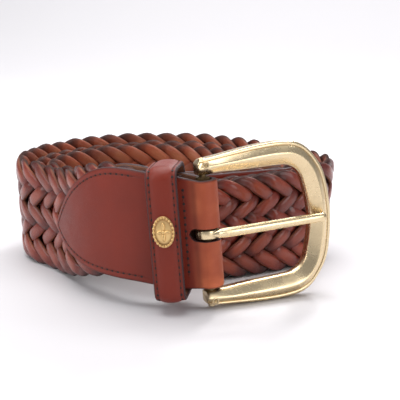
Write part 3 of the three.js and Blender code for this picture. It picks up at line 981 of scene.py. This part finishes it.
@dataclass
class PlaitedStrap:
    """The strap: twelve leather strands in a flat plait of five rows."""

    course: BeltCourse
    finishes: Finishes
    strands: int = 12
    pitch: float = 8.0
    start: float = 7.0
    end: float = 824.0
    root_width: float = 34.0
    margin: float = 4.2
    ease: float = 36.0
    turn_sharpness: float = 0.99
    strand_width: float = 4.25
    strand_thickness: float = 2.15
    rise: float = 1.15
    dive: float = 1.9
    swell: float = 0.09
    step: float = 0.9
    sides: int = 12
    seed: int = 12
    flat_across: float = 0.72
    flat_through: float = 0.85
    face_limit: float = 0.3
    height_wave: Wave = Wave(0.22, 9.7)
    depth_wave: Wave = Wave(0.1, 6.1)
    width_wave: Wave = Wave(0.04, 13.0)
    thickness_wave: Wave = Wave(0.05, 8.3)
    row_ends: tuple[float, ...] = (0, 0.204, 0.388, 0.612, 0.796, 1)

    def centreline(self, along: np.ndarray, strand: int) -> tuple[np.ndarray, np.ndarray]:
        """Follows one strand.

        Args:
            along: lengths along the belt.
            strand: the strand's number.

        Returns:
            Its heights, and how far it lies outwards as a share of its rise.
        """
        phase = 2 * math.pi * (along - strand * self.pitch) / (self.strands * self.pitch)
        sway = np.arcsin(self.turn_sharpness * np.cos(phase)) / math.asin(self.turn_sharpness)
        across = (1 - sway) / 2
        rows = np.interp(across, self.row_ends, np.arange(len(self.row_ends)))
        weave = np.tanh(self.dive * np.sin(math.pi * rows)) / math.tanh(self.dive)
        wide = smooth_step(along, self.start, self.start + self.ease) * (
            1 - smooth_step(along, self.end - self.ease, self.end))
        half = self.root_width / 2 + (self.course.strap_half(along) - self.root_width / 2) * wide
        return sway * (half - self.margin / 2), -weave * np.sign(np.sin(phase))

    def build(self) -> None:
        """Builds the strands, one piece each."""
        rng = np.random.default_rng(self.seed)
        angle = circle(self.sides)
        across = squared(np.cos(angle), self.flat_across)
        through = squared(np.sin(angle), self.flat_through)
        facing = np.sin(angle + math.pi / self.sides)
        slots = np.where(facing > self.face_limit, Face.GRAIN.value,
                         np.where(facing < -self.face_limit, Face.FLESH.value, Face.EDGE.value))
        for strand in range(self.strands):
            along = np.arange(self.start, self.end + self.step / 2, self.step)
            height, weave = self.centreline(along, strand)
            starts = rng.uniform(0, 2 * math.pi, 4)
            height = height + self.height_wave.at(along, starts[0])
            depth = self.rise * weave + self.depth_wave.at(along, starts[1])
            middle = self.course.place(along, depth, height)
            _, outward, _, _ = self.course.axes(along)
            tangent = np.gradient(middle, axis=0)
            tangent /= np.linalg.norm(tangent, axis=1)[:, None]
            normal = outward - tangent * np.sum(outward * tangent, axis=1)[:, None]
            normal /= np.linalg.norm(normal, axis=1)[:, None]
            side = np.cross(tangent, normal)
            swell = 1 + self.swell * weave ** 2 + self.width_wave.at(along, starts[2])
            half_width = self.strand_width / 2 * swell
            half_thick = self.strand_thickness / 2 * (1 + self.thickness_wave.at(along, starts[3]))
            rings = (middle[:, None, :] + side[:, None, :] * (half_width[:, None] * across)[:, :, None]
                     + normal[:, None, :] * (half_thick[:, None] * through)[:, :, None])
            out = depth[:, None] + half_thick[:, None] * through
            level = np.abs(out) / (self.rise + self.strand_thickness / 2)
            body = Body()
            # hollow paints shade on the low parts of the strand, between its neighbours; crest lightens its
            # high spots, partly as wear and partly as a painted highlight.
            body.add_tube(rings, np.broadcast_to(slots, (len(along) - 1, self.sides)),
                          hollow=0.95 * (1 - smooth_step(level, 0.22, 0.68)),
                          crest=0.6 * smooth_step(level, 0.8, 1.0),
                          tone=np.full(rings.shape[:2], rng.uniform(0.3, 1.15)))
            piece = body.finish(f"strand_{strand + 1:02d}", [
                self.finishes.strand, self.finishes.strand_edge, self.finishes.strand_flesh], sharp=70)
            settle(piece, "strap", "plait", "braided_strap")


EDGE_SKIN = (
    SkinRow(0, 0.8), SkinRow(0.06, 0.5), SkinRow(0.2, 0.26), SkinRow(0.45, 0.1), SkinRow(0.8, 0.02),
    SkinRow(1.45, 0), SkinRow(1.75, 0.04), SkinRow(2.0, 0.16), SkinRow(2.25, 0.04), SkinRow(2.6, 0),
)
BACK_SKIN = (
    SkinRow(0, 1.0), SkinRow(0.06, 1.35), SkinRow(0.25, 1.62), SkinRow(0.6, 1.8), SkinRow(3, 1.8),
)
ARCH_STEPS = np.array([0.01, 0.06, 0.16, 0.32, 0.55, 0.85, 1.25, 1.7, 2.2, 2.8, 3.4])


@dataclass
class LeatherEnd:
    """A leather ply with a cut outline, lying on the belt or folded round the bar."""

    course: BeltCourse
    finishes: Finishes
    stitch_inset: float = 2.0
    stitch_pitch: float = 2.1
    stitch_length: float = 1.3
    stitch_thickness: float = 0.42
    arch_fullness: float = 2.1
    arch_roundness: float = 0.85
    groove_half: float = 0.3
    # Painted shade in the stitch grooves, and the real dark dye along the rim.
    groove_shade: float = 0.2
    rim_dark: float = 0.8
    inner_columns: int = 7

    def arched(self, width: float, inset: np.ndarray) -> np.ndarray:
        """Half width of an arched end, a length in from its point."""
        share = np.clip(inset / self.course.arch_length, 0, 1)
        return width / 2 * (1 - (1 - share) ** self.arch_fullness) ** self.arch_roundness

    def spot(self, length: np.ndarray, height: np.ndarray, depth: np.ndarray) -> np.ndarray:
        """Point of the ply at a length and height on it and a depth below its face."""
        raise NotImplementedError

    def half_width(self, length: np.ndarray) -> np.ndarray:
        """Half width of the ply at a length on it."""
        raise NotImplementedError

    def slant(self, length: np.ndarray) -> np.ndarray:
        """How square the edge stands to the height.

        Args:
            length: lengths on the leather.

        Returns:
            The share at each length, 1 where the edge runs level.
        """
        step = 0.02
        slope = (self.half_width(length + step) - self.half_width(length - step)) / (2 * step)
        return 1 / np.hypot(1, slope)

    def add_ply(self, body: Body, lengths: np.ndarray, gap: np.ndarray, stretch: np.ndarray,
                sewn: np.ndarray, crease: np.ndarray) -> None:
        """Adds one ply.

        Args:
            body: what the ply is added to.
            lengths: its stations, from one end to the other.
            gap: half height of the slot at each station.
            stretch: how far the fold lightens the leather at each station, partly by stretching and partly
                as a painted highlight on its bulge.
            sewn: how deep the groove of the stitches is there, as a share.
            crease: how much shade is painted into the crease there.
        """
        half = np.maximum(self.half_width(lengths), gap + 1e-4)
        slant = self.slant(lengths)
        columns = []
        for skin, back in ((EDGE_SKIN, False), (BACK_SKIN, True)):
            insets, depths = np.array(skin, float).T
            height = np.maximum(gap[:, None], half[:, None] - insets / slant[:, None])
            real = (half[:, None] - height) * slant[:, None]
            depth = np.interp(real, insets, depths)
            fill = np.linspace(0, 1, self.inner_columns)[1:]
            inner = height[:, -1:] + (gap[:, None] - height[:, -1:]) * fill
            inner_real = (half[:, None] - inner) * slant[:, None]
            inner_depth = np.interp(inner_real, insets, depths)
            columns.append((np.hstack([height, inner]), np.hstack([depth, inner_depth]),
                            np.hstack([real, inner_real]), back))
        for sign in (1, -1):
            grids = []
            for height, depth, real, back in columns:
                if not back:
                    depth = np.where(real > self.stitch_inset - 0.6, depth * sewn[:, None], depth)
                points = self.spot(np.broadcast_to(lengths[:, None], height.shape), sign * height, depth)
                # Painted shade along the groove of the stitches.
                groove = np.exp(-((real - self.stitch_inset) / self.groove_half) ** 2) * self.groove_shade
                rim = self.rim_dark * (1 - smooth_step(real, 0.15, 0.9))
                # The grain is darkened by painted shade in the stitch groove and the crease, and by the
                # dark dye along its rim.
                hollow = 0 * real if back else np.maximum(groove * sewn[:, None] + crease[:, None], rim)
                numbers = body.add_points(points, hollow=hollow, stretch=stretch[:, None])
                face = Face.FLESH if back else Face.GRAIN
                slots = np.full((numbers.shape[0] - 1, numbers.shape[1] - 1), face.value)
                slots[:, :2] = Face.EDGE.value
                body.add_grid(numbers, slots)
                grids.append(numbers)
            body.add_grid(np.stack([grids[0][:, 0], grids[1][:, 0]], axis=1), Face.EDGE.value)
            open_steps = (gap[:-1] > 1e-3) | (gap[1:] > 1e-3)
            for k in np.nonzero(open_steps)[0]:
                wall = np.stack([grids[0][k:k + 2, -1], grids[1][k:k + 2, -1]], axis=1)
                body.add_grid(wall, Face.EDGE.value)

    def outline(self, lengths: np.ndarray) -> tuple[np.ndarray, np.ndarray]:
        """Lengths and heights of the stitch row along both edges, out and back."""
        inner = np.maximum(0, self.half_width(lengths) - self.stitch_inset / self.slant(lengths))
        return np.concatenate([lengths, lengths[::-1]]), np.concatenate([inner, -inner[::-1]])

    def add_row(self, seam: Seam, lengths: np.ndarray, heights: np.ndarray, depth: float = 0.1) -> None:
        """Adds a row of stitches.

        Args:
            seam: what the stitches are added to.
            lengths: the row's lengths on the leather.
            heights: its heights there.
            depth: how far it lies below the face.
        """
        path = self.spot(lengths, heights, np.full(len(lengths), depth))
        below = self.spot(lengths, heights, np.full(len(lengths), 1.1))
        self.add_stitches(seam, path, path - below)

    def add_stitches(self, seam: Seam, path: np.ndarray, normals: np.ndarray) -> None:
        """Lays stitches along a path.

        Args:
            seam: what the stitches are added to.
            path: points of the path on the leather's face.
            normals: the face's outward directions there.
        """
        steps = np.concatenate([[0], np.cumsum(np.linalg.norm(np.diff(path, axis=0), axis=1))])
        count = int(steps[-1] / self.stitch_pitch)
        first = (steps[-1] - (count - 1) * self.stitch_pitch) / 2
        for middle in first + self.stitch_pitch * np.arange(count):
            centre = np.array([np.interp(middle, steps, path[:, k]) for k in range(3)])
            ahead = np.array([np.interp(middle + 0.3, steps, path[:, k]) for k in range(3)])
            normal = np.array([np.interp(middle, steps, normals[:, k]) for k in range(3)])
            along = ahead - centre
            seam.add_stitch(centre, along / np.linalg.norm(along), normal / np.linalg.norm(normal),
                            (self.stitch_length, self.stitch_thickness))


@dataclass
class BuckleTab(LeatherEnd):
    """The leather tab that folds round the bar, with a slot for the prong."""

    width: float = 35.0
    length: float = 59.0
    fold_width: float = 33.4
    fold_taper: float = 9.0
    slot_reach: float = 4.4
    slot_half: float = 2.0
    bend: float = 7.0
    stretched: float = 0.95
    # The crease beside the fold: its place, its half width and the shade painted into it.
    crease_at: float = 2.4
    crease_half: float = 0.9
    crease_shade: float = 0.4
    sewn_from: float = 16.0
    sewn_to: float = 19.0
    first_stitch: float = 19.5
    cross_row: float = 5.5

    @property
    def quarter(self) -> float:
        """Length of leather from the fold's middle to where a ply runs straight."""
        return math.pi / 2 * (self.course.half_fold - self.course.ply_thickness / 2)

    def along(self, length: np.ndarray) -> np.ndarray:
        """Length along the belt of a length on the leather, from the fold's middle."""
        return np.abs(length) - self.quarter

    def half_width(self, length: np.ndarray) -> np.ndarray:
        """Half width of the tab.

        Args:
            length: lengths on the leather.

        Returns:
            The half width at each length.
        """
        along = self.along(length)
        share = smooth_step(along, 0, self.fold_taper)
        side = (self.fold_width + (self.width - self.fold_width) * share) / 2
        return np.minimum(side, self.arched(self.width, self.length - along))

    def spot(self, length: np.ndarray, height: np.ndarray, depth: np.ndarray) -> np.ndarray:
        """Point of the folded tab.

        Args:
            length: lengths on the leather.
            height: heights there.
            depth: depths below the face.

        Returns:
            The points.
        """
        radius = self.course.half_fold - depth
        along = self.along(length)
        angle = np.clip(length / (self.quarter / (math.pi / 2)), -math.pi / 2, math.pi / 2)
        folded = along < 0
        place_along = np.where(folded, -radius * np.cos(angle), along)
        out = radius * np.where(folded, np.sin(angle), np.sign(length))
        return self.course.place(place_along, out, height)

    def build(self) -> None:
        """Builds the tab and its stitches."""
        reach = self.quarter + self.length
        bend = self.quarter + self.bend
        front = np.sort(np.concatenate([
            reach - ARCH_STEPS, np.arange(bend, reach - 4, 0.9), np.arange(0.35, bend, 0.4)]))
        lengths = np.concatenate([-front[::-1], [0], front])
        along = self.along(lengths)
        centre = self.slot_reach - self.slot_half
        gap = np.where(along <= centre, self.slot_half,
                       np.sqrt(np.maximum(0, self.slot_half ** 2 - (along - centre) ** 2)))
        # The fold is lightened where it bulges over the bar: partly stretching of the leather, partly a
        # painted highlight.
        stretch = self.stretched * (1 - smooth_step(along, 0.2, 5.0))
        # Painted shade in the concave crease beside the fold.
        crease = self.crease_shade * np.exp(-((along - self.crease_at) / self.crease_half) ** 2)
        sewn = smooth_step(along, self.sewn_from, self.sewn_to)
        body = Body()
        self.add_ply(body, lengths, gap, stretch, sewn, crease)
        piece = body.finish("folded_tab", self.finishes.ply, sharp=50)
        settle(piece, "strap", "tab_leather", "buckle_tab")
        self.build_stitches(reach)

    def build_stitches(self, reach: float) -> None:
        """Builds the stitch rows on both faces.

        Args:
            reach: length of leather from the fold's middle to a point.
        """
        seam = Seam()
        first = self.quarter + self.first_stitch
        run = np.concatenate([np.arange(first, reach - 4, 0.8), reach - np.geomspace(4, 2.3, 14)])
        lengths, heights = self.outline(run)
        across = np.linspace(-self.width / 2 + 3, self.width / 2 - 3, 40)
        for face in (1, -1):
            self.add_row(seam, face * lengths, heights)
            self.add_row(seam, np.full(40, face * (self.quarter + self.cross_row)), across, 0.0)
        seam.settle("tab", self.finishes)


@dataclass
class TipTab(LeatherEnd):
    """The leather tip: two plies over the end of the plait, joined beyond it."""

    width: float = 34.0
    beyond_plait: float = 26.0
    end_thickness: float = 3.4
    face: int = 1

    @property
    def root(self) -> float:
        """Where the tip begins."""
        return self.course.strap_length - self.course.tip_length

    def half_width(self, length: np.ndarray) -> np.ndarray:
        """Half width of the tip at a length along the belt."""
        return np.minimum(self.arched(self.width, length - self.root),
                          self.arched(self.width, self.course.strap_length - length))

    def spot(self, length: np.ndarray, height: np.ndarray, depth: np.ndarray) -> np.ndarray:
        """Point of one ply of the tip.

        Args:
            length: lengths on the leather.
            height: heights there.
            depth: depths below the face.

        Returns:
            The points.
        """
        plait_end = self.course.strap_length - self.beyond_plait
        ease = smooth_step(length, plait_end, self.course.strap_length)
        thick = self.course.half_fold + (self.end_thickness / 2 - self.course.half_fold) * ease
        inside = self.course.ply_offset * (1 - smooth_step(length, plait_end, plait_end + 8)) + 0.02
        out = thick - depth * (thick - inside) / self.course.ply_thickness
        return self.course.place(length, self.face * out, height)

    def build(self) -> None:
        """Builds both plies and their stitches."""
        start, stop = self.root, self.course.strap_length
        middle = np.arange(start + 4, stop - 3.9, 0.9)
        lengths = np.concatenate([start + ARCH_STEPS, middle, (stop - ARCH_STEPS)[::-1]])
        none = np.zeros(len(lengths))
        row = self.outline(np.concatenate([[start + 2.4], middle, [stop - 2.4]]))
        body, seam = Body(), Seam()
        for self.face in (1, -1):
            self.add_ply(body, lengths, none, none, none + 1, none)
            self.add_row(seam, *row)
        piece = body.finish("tip_leather", self.finishes.ply, sharp=50)
        settle(piece, "strap", "tab_leather", "tip_tab")
        seam.settle("tip", self.finishes)


@dataclass
class Keeper(LeatherEnd):
    """The keeper loop: a padded band with a row of stitches along each edge."""

    along_belt: float = 11.0
    band_width: float = 9.4
    thickness: float = 2.1
    edge_thickness: float = 1.4
    room: float = 5.0
    slack: float = 1.4
    back_room: float = 0.9
    corner: float = 2.2
    tab_width: float = 35.0
    stitch_from_edge: float = 1.15

    def path(self) -> tuple[np.ndarray, np.ndarray]:
        """Walks round the inside of the loop.

        Returns:
            Points and outward directions, in the keeper's own axes.
        """
        front = self.course.half_fold + self.room
        back = self.course.half_fold + self.back_room
        half_depth, middle = (front + back) / 2, (back - front) / 2
        half_height = self.tab_width / 2 + self.slack
        points, normals = [], []
        for y, z, start in ((1, 1, 0), (-1, 1, 90), (-1, -1, 180), (1, -1, 270)):
            centre = np.array([
                0, middle + y * (half_depth - self.corner), z * (half_height - self.corner)])
            for angle in np.radians(start + np.linspace(0, 90, 10)):
                normal = np.array([0, math.cos(angle), math.sin(angle)])
                points.append(centre + normal * self.corner)
                normals.append(normal)
        points, normals = np.array(points), np.array(normals)
        dense_points, dense_normals = [], []
        for k in range(len(points)):
            nxt = (k + 1) % len(points)
            count = max(1, round(np.linalg.norm(points[nxt] - points[k]) / 1.5))
            for share in np.arange(count) / count:
                dense_points.append(points[k] + (points[nxt] - points[k]) * share)
                dense_normals.append(normals[k] + (normals[nxt] - normals[k]) * share)
        return np.array(dense_points), np.array(dense_normals)

    def build(self) -> None:
        """Builds the loop and its stitches."""
        origin, axes = self.course.local_axes(self.along_belt)
        points, normals = self.path()
        half = self.band_width / 2
        edge, full = self.edge_thickness, self.thickness
        groove = half - self.stitch_from_edge
        outer = [(half, 0.35), (half, 0.8), (half - 0.1, edge - 0.28), (half - 0.32, edge - 0.06),
                 (half - 0.6, edge), (groove + 0.25, edge), (groove, edge - 0.16),
                 (groove - 0.25, edge + 0.02), (groove - 0.8, edge + 0.32), (groove - 1.6, full - 0.14),
                 (0.9, full)]
        mirrored = [(-x, d) for x, d in outer[::-1]]
        section = np.array([(half - 0.3, 0), *outer, *mirrored, (-half + 0.3, 0)])
        flat = section[None, :, :1] * np.array([1, 0, 0]) + normals[:, None, :] * section[None, :, 1:]
        rings = origin + (points[:, None, :] + flat) @ axes
        from_middle = np.abs(section[:, 0])
        # Painted shade in the grooves of the stitch rows, and the real dark dye along the edges.
        near_groove = np.exp(-((from_middle - groove) / self.groove_half) ** 2) * self.groove_shade
        near_edge = self.rim_dark * smooth_step(from_middle, half - 0.9, half - 0.2)
        middle = (from_middle + np.roll(from_middle, -1)) / 2
        slots = np.where(middle > half - 0.35, Face.EDGE.value, Face.GRAIN.value)
        slots[-1] = Face.FLESH.value
        body = Body()
        body.add_tube(rings, np.broadcast_to(slots, (len(points), len(section))), looped=True,
                      hollow=np.broadcast_to(np.maximum(near_groove, near_edge), rings.shape[:2]),
                      stretch=np.zeros(rings.shape[:2]))
        piece = body.finish("keeper_loop", self.finishes.ply, sharp=60)
        settle(piece, "strap", "tab_leather", "keeper")
        seam = Seam()
        for side in (1, -1):
            path = points + normals * (edge - 0.08) + np.array([side * groove, 0, 0])
            path = np.vstack([path, path[:1]])
            around = np.vstack([normals, normals[:1]])
            self.add_stitches(seam, origin + path @ axes, around @ axes)
        seam.settle("keeper", self.finishes)


@dataclass
class KeeperOrnament:
    """A small oval plate with a beaded rim and a four-leaved boss."""

    keeper: Keeper
    width: float = 6.6
    height: float = 9.6
    thickness: float = 1.3
    rise: float = 2.0
    sides: int = 48
    beads: int = 22
    bead_ring: float = 0.9
    bead_lift: float = 0.62
    bead_size: tuple[float, float, float] = (0.42, 0.36, 0.42)
    boss_lift: float = 0.78
    boss_size: tuple[float, float, float] = (0.62, 0.45, 0.62)

    def build(self) -> None:
        """Builds the ornament on the keeper's face."""
        origin, axes = self.keeper.course.local_axes(self.keeper.along_belt)
        origin = origin + axes[2] * self.rise
        face = self.keeper.course.half_fold + self.keeper.room + self.keeper.thickness
        turn = circle(self.sides)
        body = Body()
        rings, hollow = [], []
        for row in PLATE_ROWS:
            ring = np.stack([row.reach * self.width / 2 * np.cos(turn),
                             np.full(self.sides, -face - row.lift * self.thickness),
                             row.reach * self.height / 2 * np.sin(turn)], axis=1)
            rings.append(origin + ring @ axes)
            hollow.append(np.full(self.sides, math.exp(-((row.reach - 0.8) / 0.1) ** 2)))
        body.add_tube(np.array(rings), 0, hollow=np.array(hollow))
        seat = -face - self.bead_lift * self.thickness
        reach_x, reach_z = self.bead_ring * self.width / 2, self.bead_ring * self.height / 2
        for angle in circle(self.beads):
            centre = (reach_x * math.cos(angle), seat, reach_z * math.sin(angle))
            self.add_ball(body, origin, axes, centre, self.bead_size, 0.0)
        for k in range(4):
            angle, tall = math.pi / 2 * k, k % 2
            reach = 1.15 + 0.45 * tall
            centre = (reach * math.cos(angle), seat, reach * math.sin(angle))
            self.add_ball(body, origin, axes, centre, (1.05 + 0.2 * tall, 0.5, 0.62), angle)
        top = (0, -face - self.boss_lift * self.thickness, 0)
        self.add_ball(body, origin, axes, top, self.boss_size, 0.0)
        piece = body.finish("oval_ornament", [self.keeper.finishes.gilt])
        settle(piece, "strap", "ornament_brass", "keeper_ornament")

    def add_ball(self, body: Body, origin: np.ndarray, axes: np.ndarray,
                 centre: tuple[float, float, float], radii: tuple[float, float, float],
                 turn: float) -> None:
        """Adds one rounded boss.

        Args:
            body: what it is added to.
            origin: the keeper's origin.
            axes: the keeper's axes.
            centre: its middle, in those axes.
            radii: its half sizes.
            turn: its turn in the plate's plane.
        """
        rows = np.linspace(0.02, math.pi - 0.02, 9)
        around = circle(12)
        x = radii[0] * np.sin(rows)[:, None] * np.cos(around)
        z = radii[2] * np.sin(rows)[:, None] * np.sin(around)
        y = radii[1] * np.cos(rows)[:, None] * np.ones(12)
        spun = np.stack([x * math.cos(turn) - z * math.sin(turn), y,
                         x * math.sin(turn) + z * math.cos(turn)], axis=-1)
        body.add_tube(origin + (spun + np.array(centre)) @ axes, 0, hollow=0.0)


@dataclass
class Buckle:
    """The horseshoe frame, the ends of its bar and its prong."""

    course: BeltCourse
    finishes: Finishes
    yaw: float = math.radians(34)
    length: float = 43.0
    height: float = 50.0
    window_length: float = 35.6
    window_height: float = 35.2
    ridge: float = 3.0
    bar_diameter: float = 4.2
    running_gap: float = 0.3
    prong_diameter: float = 3.0
    prong_reach: float = 38.9
    eye_wall: float = 1.5
    rivet_inset: float = 1.7
    rivet_face: float = -2.35
    rim_face: float = -1.3
    arm_scoop: float = 0.62

    def axes(self) -> tuple[np.ndarray, np.ndarray]:
        """Origin on the bar, and axes towards the bow, to the back and along the bar."""
        return self.course.local_axes(0.0, self.yaw)

    def build_frame(self) -> None:
        """Builds the frame with its rim, groove and soft ridge."""
        origin, axes = self.axes()
        half = np.array(BUCKLE_OUTLINE, float) * [self.length, self.height / 2, self.window_length,
                                                   self.window_height / 2]
        full = np.vstack([half, half[-2::-1] * [1, -1, 1, -1]])
        smooth = centripetal(full, 7)
        outer, inner = smooth[:, :2], smooth[:, 2:]
        share, depth = np.array(FRAME_ROWS, float).T
        scoop = self.arm_scoop + (1 - self.arm_scoop) * smooth_step(outer[:, 0], -1.5, 9.0)
        flat = outer[:, None, :] + (inner - outer)[:, None, :] * share[None, :, None]
        y = np.where(depth < self.rim_face, self.rim_face + (depth - self.rim_face) * scoop[:, None], depth)
        local = np.stack([flat[:, :, 0], y, flat[:, :, 1]], axis=-1)
        hollow = np.broadcast_to(np.where(np.isclose(share, GROOVE_SHARE), 0.9, 0.0), y.shape)
        body = Body()
        body.add_tube(origin + local @ axes, 0, hollow=hollow)
        piece = body.finish("horseshoe_frame", [self.finishes.brass], sharp=55)
        settle(piece, "buckle", "buckle_brass", "buckle_frame")

    def build_pins(self) -> None:
        """Builds the peened ends of the bar on the arms, and the peened rivets on the arms' faces."""
        origin, axes = self.axes()
        body = Body()
        end = BUCKLE_OUTLINE[2].outer_z * self.height / 2
        rivet = end - self.rivet_inset
        sides = 20
        turn = circle(sides)
        flat = np.stack([np.cos(turn), np.sin(turn)], axis=1)
        for sign in (1, -1):
            for centre, out, side in (((0, 0, sign * end), (0, 0, sign), (0, 1, 0)),
                                      ((0.4, self.rivet_face, sign * rivet), (0, -1, 0), (0, 0, 1))):
                plane = flat @ np.array([(1, 0, 0), side])
                rings, hollow = [], []
                for row in PIN_ROWS:
                    rings.append(np.array(centre) + row.radius * plane + row.lift * np.array(out))
                    hollow.append(np.full(sides, row.dark))
                body.add_tube(origin + np.array(rings) @ axes, 0, hollow=np.array(hollow))
        settle(body.finish("bar_pins", [self.finishes.brass]), "buckle", "buckle_brass")

    def build_prong(self) -> None:
        """Builds the prong with its eye."""
        origin, axes = self.axes()
        radius = self.prong_diameter / 2
        eye_inner = self.bar_diameter / 2 + self.running_gap
        eye_middle = eye_inner + self.eye_wall / 2
        rest = -(self.ridge + self.running_gap + radius)
        route = np.array([(0.3, -eye_middle), (3.5, -eye_middle - 0.1), (8, -3.75), (20, -4.3),
                          (36.5, rest), (self.prong_reach, rest)])
        line = centripetal(route, 12)
        run = np.concatenate([[0], np.cumsum(np.linalg.norm(np.diff(line, axis=0), axis=1))])
        share = run / run[-1]
        size = np.interp(share, *np.array(PRONG_ROWS, float).T)
        step = np.gradient(line, axis=0)
        step /= np.linalg.norm(step, axis=1)[:, None]
        turn = circle(28, 0.5)
        rings = []
        for k, centre in enumerate(line):
            across = np.array([-step[k, 1], step[k, 0]])
            flat = centre + np.outer(np.cos(turn) * radius * size[k], across)
            rings.append(np.column_stack([flat, np.sin(turn) * radius * size[k]]))
        body = Body()
        dark = 0.7 * smooth_step(share, 0.972, 0.99)[:, None]
        body.add_tube(origin + np.array(rings) @ axes, 0, hollow=dark)
        around, section = circle(48)[:, None], circle(16)
        wide = eye_middle + self.eye_wall / 2 * squared(np.cos(section), 0.6)
        tall = radius * squared(np.sin(section), 0.5)
        eye = np.stack(np.broadcast_arrays(np.cos(around) * wide, np.sin(around) * wide, tall), axis=-1)
        body.add_tube(origin + eye @ axes, 0, looped=True, hollow=0.0)
        piece = body.finish("prong_pin", [self.finishes.brass], sharp=50)
        settle(piece, "tongue", "buckle_brass", "prong")

    def build(self) -> None:
        """Builds the pieces of the buckle."""
        self.build_frame()
        self.build_pins()
        self.build_prong()
        bar = frame["nodes"]["buckle_bar"]
        # The bar takes the dark brass that paints the shade it lies in.
        bar.data.materials.clear()
        bar.data.materials.append(self.finishes.bar_shade_brass)


@dataclass(frozen=True)
class SoftBox:
    """A soft light: its name, place and aim in metres, width and height, and strength in watts."""

    name: str
    place: Colour
    aim: Colour
    size: tuple[float, float]
    power: float

    def build(self) -> None:
        """Adds the light to the scene."""
        data = bpy.data.lights.new(self.name, "AREA")
        data.shape, data.size, data.size_y = "RECTANGLE", *self.size
        data.energy = self.power
        lamp = bpy.data.objects.new(self.name, data)
        lamp.location = self.place
        facing = Vector(self.aim) - lamp.location
        lamp.rotation_mode = "QUATERNION"
        lamp.rotation_quaternion = facing.to_track_quat("-Z", "Y")
        bpy.context.scene.collection.objects.link(lamp)


SOFT_BOXES = (
    SoftBox("top_box", (-0.1, -0.05, 0.75), (0, 0, 0), (0.7, 0.6), 5.4),
    SoftBox("left_box", (-0.6, -0.5, 0.4), (0, 0, 0.02), (0.5, 0.5), 2.5),
    SoftBox("right_box", (0.6, -0.45, 0.3), (0, 0, 0.02), (0.35, 0.5), 1.6),
    SoftBox("rim_box", (0.12, 0.42, 0.42), (0.0, 0, 0.03), (0.1, 0.1), 1.3),
    SoftBox("backdrop_box", (0, 0.45, 0.9), (0, 1.1, 0), (1.2, 0.3), 11),
)


@dataclass
class Studio:
    """The floor, the lights and the camera."""

    bar: np.ndarray
    bar_seen: tuple[float, float] = (2.0, -1.5)
    camera_seen: tuple[float, float, float] = (0.0, -295.0, 99.0)
    pitch: float = math.radians(12.5)
    turn: float = math.radians(10)
    lens: float = 90.0
    floor_front: float = -1500.0
    floor_side: float = 2500.0
    sweep_start: float = 600.0
    sweep: float = 900.0
    room_light: float = 0.36

    def build_floor(self) -> None:
        """Builds a pale floor that sweeps up behind the belt."""
        material = Plain("pale_floor", (0.62, 0.605, 0.62), 0.6).make()
        back = np.linspace(0, self.sweep, 24)
        depth = np.concatenate([[self.floor_front], self.sweep_start + back])
        rise = np.concatenate([[0], self.sweep - np.sqrt(np.maximum(0, self.sweep ** 2 - back ** 2))])
        body = Body()
        sides = (-self.floor_side, self.floor_side)
        grid = np.array([[(x, y, z - 0.02) for y, z in zip(depth, rise)] for x in sides])
        body.add_grid(body.add_points(grid))
        floor = body.finish("floor", [material], sharp=180)

    def build_lights(self) -> None:
        """Sets the soft boxes and the room's light."""
        world = bpy.data.worlds.new("studio")
        world.use_nodes = True
        backdrop = world.node_tree.nodes["Background"]
        backdrop.inputs["Color"].default_value = (0.93, 0.95, 1.0, 1.0)
        backdrop.inputs["Strength"].default_value = self.room_light
        bpy.context.scene.world = world
        for box in SOFT_BOXES:
            box.build()

    def build_camera(self) -> None:
        """Puts the camera where the photograph was taken."""
        data = bpy.data.cameras.new("camera")
        data.lens, data.sensor_width = self.lens, 36.0
        data.clip_start, data.clip_end = 0.01, 20.0
        camera = bpy.data.objects.new("camera", data)
        x, y, z = np.array(self.camera_seen) - [*self.bar_seen, 0]
        cos, sin = math.cos(self.turn), math.sin(self.turn)
        camera.location = (
            (self.bar[0] + x * cos - y * sin) * MM, (self.bar[1] + x * sin + y * cos) * MM, z * MM)
        camera.rotation_euler = (math.pi / 2 - self.pitch, 0, self.turn)
        bpy.context.scene.collection.objects.link(camera)
        bpy.context.scene.camera = camera

    def build(self) -> None:
        """Builds the studio."""
        self.build_floor()
        self.build_lights()
        self.build_camera()
        bpy.context.scene.view_settings.view_transform = "Standard"


def main() -> None:
    """Builds every piece in order."""
    logging.basicConfig(level=logging.INFO, format="%(name)s: %(message)s")
    low, high = (np.array(corner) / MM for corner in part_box("buckle_bar"))
    axis = frame["joints"][0]["axis"]
    course = BeltCourse(bar=(low + high) / 2, tilt=math.asin(abs(axis[0])))
    finishes = Finishes()
    PlaitedStrap(course, finishes).build()
    BuckleTab(course, finishes).build()
    TipTab(course, finishes).build()
    keeper = Keeper(course, finishes)
    keeper.build()
    KeeperOrnament(keeper).build()
    Buckle(course, finishes).build()
    Studio(course.bar).build()


if __name__ == "__main__":
    main()
